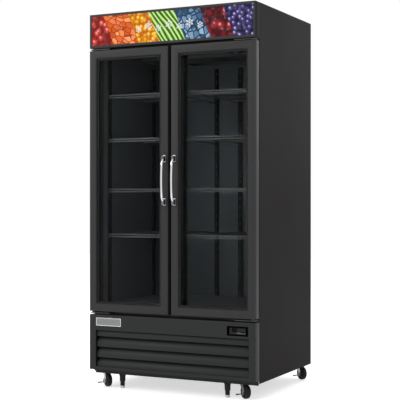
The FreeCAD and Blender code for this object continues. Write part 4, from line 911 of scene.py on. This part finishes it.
def makeCanopy(look):
    low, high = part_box("lightbox_housing")
    canopy = addBlock("canopy", low, high)
    opening = (low.x + look["sideRim"], high.x - look["sideRim"],
               low.z + look["bottomRim"], high.z - look["topRim"])
    cutAt(canopy, (1, 0, 0), *opening[:2])
    cutAt(canopy, (0, 0, 1), *opening[2:])
    pick(canopy, lambda at, way: facesFront(at, way) and within(at, opening))
    extrude((0, look["pocket"], 0))
    leave()
    return smooth(roundEdges(outward(canopy), look["edge"], 3, 60))


canopy = dress(makeCanopy(canopyShape), "doorPaint", ["lightbox_housing"])
# its two sides take the darker case paint, which paints the shade on faces turned away from the
# lamps
canopy.data.materials.append(finishes["casePaint"])
pick(canopy, lambda at, way: abs(way.x) > square and abs(at.x) > canopyShape["sideFrom"])
canopy.active_material_index = 1
bpy.ops.object.material_slot_assign()
leave()
print("canopy made")


# name plate: bare brushed field inside a raised bright rim

plateShape = {
    "rim": 0.0032, "sink": 0.0005, "step": 0.0015, "stepDown": 0.0001, "fieldEdge": 0.0001,
    "edge": 0.0003, "corner": 0.003
}


def makePlate(look):
    low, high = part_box("name_plate")
    rim = look["rim"]
    field = addBlock("plateField", (low.x + rim, low.y + look["sink"], low.z + rim),
                     (high.x - rim, high.y, high.z - rim))
    insetFaces(field, facesFront, look["step"], -look["stepDown"])
    leave()
    roundEdges(field, look["fieldEdge"], 1)
    ring = ringBlock("plateRim", low, high, rim)
    pick(ring, lambda at, line: abs(line.y) > square
         and (near(at.x, low.x) or near(at.x, high.x)), "EDGE")
    bpy.ops.mesh.bevel(offset=look["corner"], segments=5)
    leave()
    return smooth(field), smooth(roundEdges(ring, look["edge"], 2, 60))


field, rim = makePlate(plateShape)
dress(field, "plateMetal", ["name_plate"])
dress(rim, "plateRim")
print("name plate made")


# controller: bezel, face with a display lens, a light line and three status lights

controllerShape = {
    "bezel": (0.339, 0.458, 0.3355, 0.3855), "front": -0.3915, "panel": -0.3900,
    "bezelEdge": 0.0006, "face": (0.3495, 0.4475, 0.3415, 0.3795), "facePlane": -0.3860,
    "lens": (0.3945, 0.4430, 0.3560, 0.3755), "lensProud": 0.0008, "lensRim": 0.0009,
    "line": (0.3945, 0.4430, 0.3475, 0.3487), "post": (0.3945, 0.3957, 0.3475, 0.3535),
    "lineProud": 0.0003, "lineRim": 0.0002,
    # middle of each status light, and its colour
    "lights": ((0.4030, (0.10, 0.60, 0.14)), (0.4100, (0.75, 0.30, 0.05)),
               (0.4170, (0.70, 0.06, 0.04))),
    "lightLevel": 0.3520, "lightSize": 0.0011, "lightGlow": 0.4, "lightDim": 0.8,
}


def makeBezel(look):
    left, right, bottom, top = look["bezel"]
    face = look["face"]
    bezel = addBlock("controllerBezel", (left, look["front"], bottom),
                     (right, look["panel"], top))
    cutAt(bezel, (1, 0, 0), *face[:2])
    cutAt(bezel, (0, 0, 1), *face[2:])
    pick(bezel, lambda at, way: facesFrontOrBack(at, way) and within(at, face))
    bpy.ops.mesh.bridge_edge_loops()
    leave()
    return smooth(roundEdges(bezel, look["bezelEdge"], 3, 60))


def makeTile(name, span, plane, proud, rim):
    left, right, bottom, top = span
    tile = addBlock(name, (left, plane - proud, bottom), (right, plane, top))
    insetFaces(tile, facesFront, rim, -proud * 0.25)
    leave()
    return smooth(roundEdges(tile, min(rim, proud) * 0.3, 2))


def makeLight(name, look, at):
    # half a ball on the face
    plane = look["facePlane"]
    bpy.ops.mesh.primitive_uv_sphere_add(segments=16, ring_count=8, radius=look["lightSize"],
                                         location=(at, plane, look["lightLevel"]))
    dot = settle(bpy.context.object, name)
    dropFaces(dot, lambda place, way: place.y > plane)
    pick(dot, lambda place, line: near(place.y, plane, 0.00002), "EDGE")
    bpy.ops.mesh.edge_face_add()
    leave()
    return smooth(outward(dot))


facePlane = controllerShape["facePlane"]
dress(makeBezel(controllerShape), "housingPlastic")
lens = makeTile("displayLens", controllerShape["lens"], facePlane, controllerShape["lensProud"],
                controllerShape["lensRim"])
dress(lens, "displayLens")
marks = [makeTile("lightLine", controllerShape[part], facePlane, controllerShape["lineProud"],
                  controllerShape["lineRim"]) for part in ("line", "post")]
dress(join("lightLine", marks), "linePrint")
for number, (at, colour) in enumerate(controllerShape["lights"], 1):
    dim = tuple(controllerShape["lightDim"] * part for part in colour)
    glow = "statusGlow%d" % number
    finishes[glow] = makeFinish(glow, "lamp", colour, dim, 0.3,
                                {"glow": controllerShape["lightGlow"]})
    dress(makeLight("statusLight%d" % number, controllerShape, at), glow)
print("controller made")


# caster wheels: rounded tread, dished rim with ribs, and a hub

wheelShape = {
    "radius": 0.0375, "half": 0.0125, "rim": 0.027, "dish": 0.003, "round": 0.0065, "edge": 0.0006,
    "hub": 0.012, "hubHalf": 0.0135, "hubDish": 0.0012, "hubEdge": 0.0008, "bore": 0.0041,
    "boreRim": 0.002, "ribs": 8, "ribHalf": 0.0011, "ribIn": 0.0008, "ribLap": 0.001,
    "ribTaper": 0.7, "ribEdge": 0.0004, "trail": 0.024
}


def makeDishedDrum(name, radius, half, sides, rim, depth):
    # a drum along Y with both ends sunk inside a rim
    drum = addDrum(name, radius, 2 * half, sides, turn=(radians(90), 0, 0))
    insetFaces(drum, facesFrontOrBack, rim, each=True)
    sinkFaces(depth)
    leave()
    return drum


def makeTread(look):
    radius = look["radius"]
    tread = makeDishedDrum("tread", radius, look["half"], 64, radius - look["rim"], look["dish"])
    pick(tread, lambda at, line: abs(line.y) < 0.1 and near(abs(at.y), look["half"])
         and hypot(at.x, at.z) > radius - look["edge"], "EDGE")
    bpy.ops.mesh.bevel(offset=look["round"], segments=6)
    leave()
    roundEdges(tread, look["edge"], 2, 50)
    return smooth(outward(tread), 40)


def makeWheelCore(look):
    hub, half, thick = look["hub"], look["half"] - look["ribIn"], look["ribHalf"]
    boss = makeDishedDrum("boss", hub, look["hubHalf"], 40, hub - look["bore"] - look["boreRim"],
                          look["hubDish"])
    core = [smooth(roundEdges(outward(boss), look["hubEdge"], 3, 50))]
    for i in range(look["ribs"]):
        rib = addBlock("rib", (hub - look["ribLap"], -half, -thick),
                       (look["rim"] + look["ribIn"], half, thick))
        pick(rib, lambda at, way: way.x > square)
        bpy.ops.transform.resize(value=(1, 1, look["ribTaper"]))
        leave()
        roundEdges(rib, look["ribEdge"], 2)
        rib.matrix_world = Matrix.Rotation(2 * pi * i / look["ribs"], 4, "Y")
        core.append(settle(rib))
    return smooth(join("core", core))


tread, core = makeTread(wheelShape), makeWheelCore(wheelShape)
for corner, spot in casterSpots.items():
    stand = Matrix.Translation((*spot, 0)) @ Matrix.Rotation(casterTurn, 4, "Z") \
        @ Matrix.Translation((wheelShape["trail"], 0, wheelShape["radius"]))
    end, hand = corner.split("_")
    name = end + hand.title()
    dress(copyTo(tread, name + "Tread", stand), "wheelPlastic",
          [corner + "_caster_wheel"], corner + "_roller")
    dress(copyTo(core, name + "WheelCore", stand), "hubPlastic", (), corner + "_roller")
bpy.data.objects.remove(tread)
bpy.data.objects.remove(core)
print("wheels made")


# wire guards over the two evaporator fans

guardShape = {"centres": (-0.200, 0.200), "level": 1.933, "plane": 0.0435, "wire": 0.0013,
              "rings": (0.068, 0.053, 0.038, 0.023), "arms": 4, "firstArm": 22.5, "past": 0.006,
              "edge": 0.0005}


def makeGuard(name, look, middle):
    wire, wires = look["wire"], []
    for radius in look["rings"]:
        bpy.ops.mesh.primitive_torus_add(
            major_radius=radius, minor_radius=wire, major_segments=64, minor_segments=8,
            location=(middle, look["plane"], look["level"]), rotation=(radians(90), 0, 0))
        wires.append(settle(bpy.context.object))
    length = 2 * (look["rings"][0] + look["past"])
    for i in range(look["arms"]):
        angle = radians(180 * i / look["arms"] + look["firstArm"])
        way = Vector((cos(angle), 0, sin(angle)))
        arm = addDrum("arm", wire, length, 10, (middle, look["plane"] - wire, look["level"]),
                      way.to_track_quat("Z", "Y").to_euler())
        wires.append(roundEdges(arm, look["edge"], 2, 60))
    return smooth(join(name, wires))


for side, middle in zip(sides, guardShape["centres"]):
    dress(makeGuard(side + "FanGuard", guardShape, middle), "railMetal")
print("fan guards made")


# the sign: slanted fields of frozen shapes, and a row of snow crystals

signPrint = {
    "lean": 0.42,                       # slant of the fields' edges
    "left": -0.496, "width": 0.992, "middle": 1.975, "glow": 0.10,
    # each field: where it starts, its motif, the motif's scale along and up and its turn in
    # degrees, then its colours from the gaps to the lit sides
    "fields": [
        (0.000, "bubble", (27, 27), 0,
         (0.19, 0.008, 0.006), (0.60, 0.050, 0.036), (0.94, 0.36, 0.32)),
        (0.118, "facet", (26, 40), 20,
         (0.22, 0.020, 0.004), (0.72, 0.115, 0.012), (0.98, 0.42, 0.16)),
        (0.275, "bead", (44, 44), 0,
         (0.48, 0.120, 0.002), (0.93, 0.46, 0.012), (1.00, 0.82, 0.30)),
        (0.405, "ripple", (30, 11), -35,
         (0.012, 0.055, 0.004), (0.16, 0.42, 0.030), (0.62, 0.84, 0.30)),
        (0.560, "facet", (34, 26), -25,
         (0.004, 0.010, 0.030), (0.022, 0.085, 0.19), (0.36, 0.52, 0.68)),
        (0.715, "bubble", (20, 20), 0,
         (0.060, 0.005, 0.008), (0.36, 0.022, 0.030), (0.86, 0.34, 0.34)),
        (0.850, "bead", (38, 38), 0,
         (0.010, 0.008, 0.035), (0.075, 0.060, 0.21), (0.52, 0.48, 0.78)),
    ],
    "stops": (0.04, 0.50, 1.0), "frost": (0.80, 0.84, 0.88),
}
# how each cell motif is toned: the distances of its gaps and its full tone, how much the cells
# differ, and the least tone
motifLook = {"facet": (0.0, 0.10, 0.60, 0.34), "bubble": (0.62, 0.12, 0.28, 0.46),
             "bead": (0.70, 0.12, 0.28, 0.46)}
glint = {"shift": (0.13, 0.0, -0.16), "edge": 0.26, "full": 0.08, "strength": 0.55}


def addCells(tree, vector, feature="F1"):
    return addNode(tree, "TexVoronoi", feature=feature, Vector=vector, Scale=1.0,
                   Randomness=0.75).outputs


def motifTone(tree, place, motif, scale, turn):
    # 0 in the gaps, 1 on the lit side of each shape
    spread = addNode(tree, "Mapping", vector_type="TEXTURE", Vector=place,
                     Rotation=(0, radians(turn), 0),
                     Scale=(1 / scale[0], 1, 1 / scale[1])).outputs["Vector"]
    if motif == "ripple":
        wave = addNode(tree, "TexWave", bands_direction="X", Vector=spread, Scale=0.5,
                       Distortion=7.0, Detail=2.0, **{"Detail Scale": 0.7})
        return wave.outputs["Fac"]
    gap, full, differ, least = motifLook[motif]
    cells = addCells(tree, spread)
    tint = addNode(tree, "SeparateColor", Color=cells["Color"]).outputs["Red"]
    # broken ice is flat and split by dark lines, balls fall off from the middle
    edges = addCells(tree, spread, "DISTANCE_TO_EDGE") if motif == "facet" else cells
    shade = calculate(tree, "MULTIPLY_ADD", tint, differ, least)
    tone = calculate(tree, "MULTIPLY", mapRange(tree, edges["Distance"], gap, full), shade)
    if motif == "facet":
        return tone
    # a glint beside the middle of each ball
    aside = calculate(tree, "ADD", spread, glint["shift"], kind="VectorMath")
    spot = mapRange(tree, addCells(tree, aside)["Distance"], glint["edge"], glint["full"],
                    toMax=glint["strength"])
    return calculate(tree, "ADD", tone, spot, clamp=True)


def makeSignPrint(look):
    material, tree, shader, place = newMaterial(
        "signPrint", {"roughness": 0.35, "specular": 0.06, "glow": look["glow"]})
    parts = addNode(tree, "SeparateXYZ", Vector=place).outputs
    slant = calculate(tree, "MULTIPLY_ADD", parts["Z"], look["lean"], parts["X"])
    start = look["left"] + look["lean"] * look["middle"]
    colour = None
    for begins, motif, scale, turn, *shades in look["fields"]:
        ramp = addNode(tree, "ValToRGB")
        stops = ramp.color_ramp.elements
        stops.new(look["stops"][1])
        for stop, position, shade in zip(stops, look["stops"], shades):
            stop.position, stop.color = position, (*shade, 1)
        feed(tree, ramp.inputs["Fac"], motifTone(tree, place, motif, scale, turn))
        field = ramp.outputs["Color"]
        if colour:
            inside = calculate(tree, "GREATER_THAN", slant, start + begins * look["width"])
            field = mixColour(tree, inside, colour, field)
        colour = field
    # a thin frost over the whole print
    amount = mapRange(tree, addNoise(tree, place, 38.0, 6.0, 0.7), 0.55, 0.85, toMax=0.35)
    colour = mixColour(tree, amount, colour, look["frost"])
    feed(tree, shader.inputs["Base Color"], colour)
    feed(tree, shader.inputs["Emission Color"], colour)
    film = addNoise(tree, place, 180.0, 2.0)
    roughFrom(tree, shader, film, 0.28, 0.42)
    bumpFrom(tree, shader, film, 0.05, 0.0002)
    return material


finishes["signPrint"] = makeSignPrint(signPrint)
paint(nodes["sign_panel"], "signPrint")

crystalRow = {"count": 7, "first": -0.190, "pitch": 0.062, "level": 1.975, "step": 0.008,
              "grow": 0.25, "size": 0.019, "bar": 0.0021, "thick": 0.0004, "edge": 0.00015,
              # where each bar of an arm starts, its length and its lean in degrees
              "bars": ((0.0, 1.0, 0), (0.45, 0.34, 55), (0.45, 0.34, -55), (0.72, 0.22, 55),
                       (0.72, 0.22, -55))}


def makeCrystal(look):
    # one arm is a bar with two pairs of branches, turned six times
    bars = []
    for turn in range(6):
        arm = Matrix.Rotation(radians(60 * turn), 4, "Y")
        for start, length, lean in look["bars"]:
            start, length = look["size"] * start, look["size"] * length
            bpy.ops.mesh.primitive_cube_add(size=1)
            bar = bpy.context.object
            bar.matrix_world = arm @ Matrix.Translation((0, 0, start)) \
                @ Matrix.Rotation(radians(lean), 4, "Y") \
                @ Matrix.Translation((0, 0, length / 2)) \
                @ Matrix.Diagonal((look["bar"], look["thick"], length, 1))
            bars.append(settle(bar))
    return roundEdges(join("snowCrystal", bars), look["edge"], 1)


crystal = makeCrystal(crystalRow)
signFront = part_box("sign_panel")[0].y
crystals = []
for i in range(crystalRow["count"]):
    odd = i % 2
    big = 1 + crystalRow["grow"] * odd
    spot = (crystalRow["first"] + crystalRow["pitch"] * i, signFront - crystalRow["thick"] / 2,
            crystalRow["level"] + crystalRow["step"] * (1 if odd else -1))
    crystals.append(copyTo(crystal, "crystal",
                           Matrix.Translation(spot) @ Matrix.Diagonal((big, 1, big, 1))))
bpy.data.objects.remove(crystal)
dress(join("signCrystals", crystals), "whitePrint")
print("sign made")


# floor, lamps and world

floorLook = {
    "size": 24.0, "level": -0.0005, "colour": 0.80, "second": 0.82, "roughness": 0.9,
    "specular": 0.1, "glow": 0.62
}


def directlySeen(tree):
    # 1 for what the camera sees straight, in a reflection or through glass, otherwise 0
    rays = addNode(tree, "LightPath").outputs
    seen = calculate(tree, "ADD", rays["Is Camera Ray"], rays["Is Glossy Ray"], clamp=True)
    return calculate(tree, "ADD", seen, rays["Is Transmission Ray"], clamp=True)


bpy.ops.mesh.primitive_plane_add(size=floorLook["size"], location=(0, 0, floorLook["level"]))
floor = settle(bpy.context.object, "studioFloor")
finishes["studioFloor"], tree, shader, place = newMaterial("studioFloor", floorLook)
colourFrom(tree, shader, place, addNoise(tree, place, 3.0, 2.0), floorLook)
feed(tree, shader.inputs["Emission Color"], 1)
feed(tree, shader.inputs["Emission Strength"],
     calculate(tree, "MULTIPLY", directlySeen(tree), floorLook["glow"]))
paint(floor, "studioFloor")

# where each lamp is, what it is aimed at, its size and its power
lamps = {
    "keyLamp": ((-3.4, -4.6, 4.2), (0, -0.3, 1.2), 3.0, 150.0),
    "fillLamp": ((3.8, -5.0, 2.2), (0, -0.3, 1.0), 3.0, 26.0),
    "topLamp": ((0.2, 0.2, 5.6), (0, 0, 1.0), 4.0, 70.0),
    "backLamp": ((0.8, 5.0, 3.0), (0, 0.4, 1.0), 3.0, 60.0),
}
for name, (at, aim, size, power) in lamps.items():
    turn = (Vector(aim) - Vector(at)).to_track_quat("-Z", "Y").to_euler()
    bpy.ops.object.light_add(type="AREA", location=at, rotation=turn)
    lamp = bpy.context.object
    lamp.name = name
    lamp.data.size, lamp.data.energy = size, power

worldLook = {"around": 0.55, "seen": 1.0}
world = bpy.context.scene.world or bpy.data.worlds.new("studio")
bpy.context.scene.world = world
world.use_nodes = True
tree = world.node_tree
background = tree.nodes["Background"]
feed(tree, background.inputs["Color"], 1)
feed(tree, background.inputs["Strength"],
     mapRange(tree, directlySeen(tree), toMin=worldLook["around"], toMax=worldLook["seen"]))
bpy.context.scene.view_settings.view_transform = "Standard"
print("stage and lamps set")
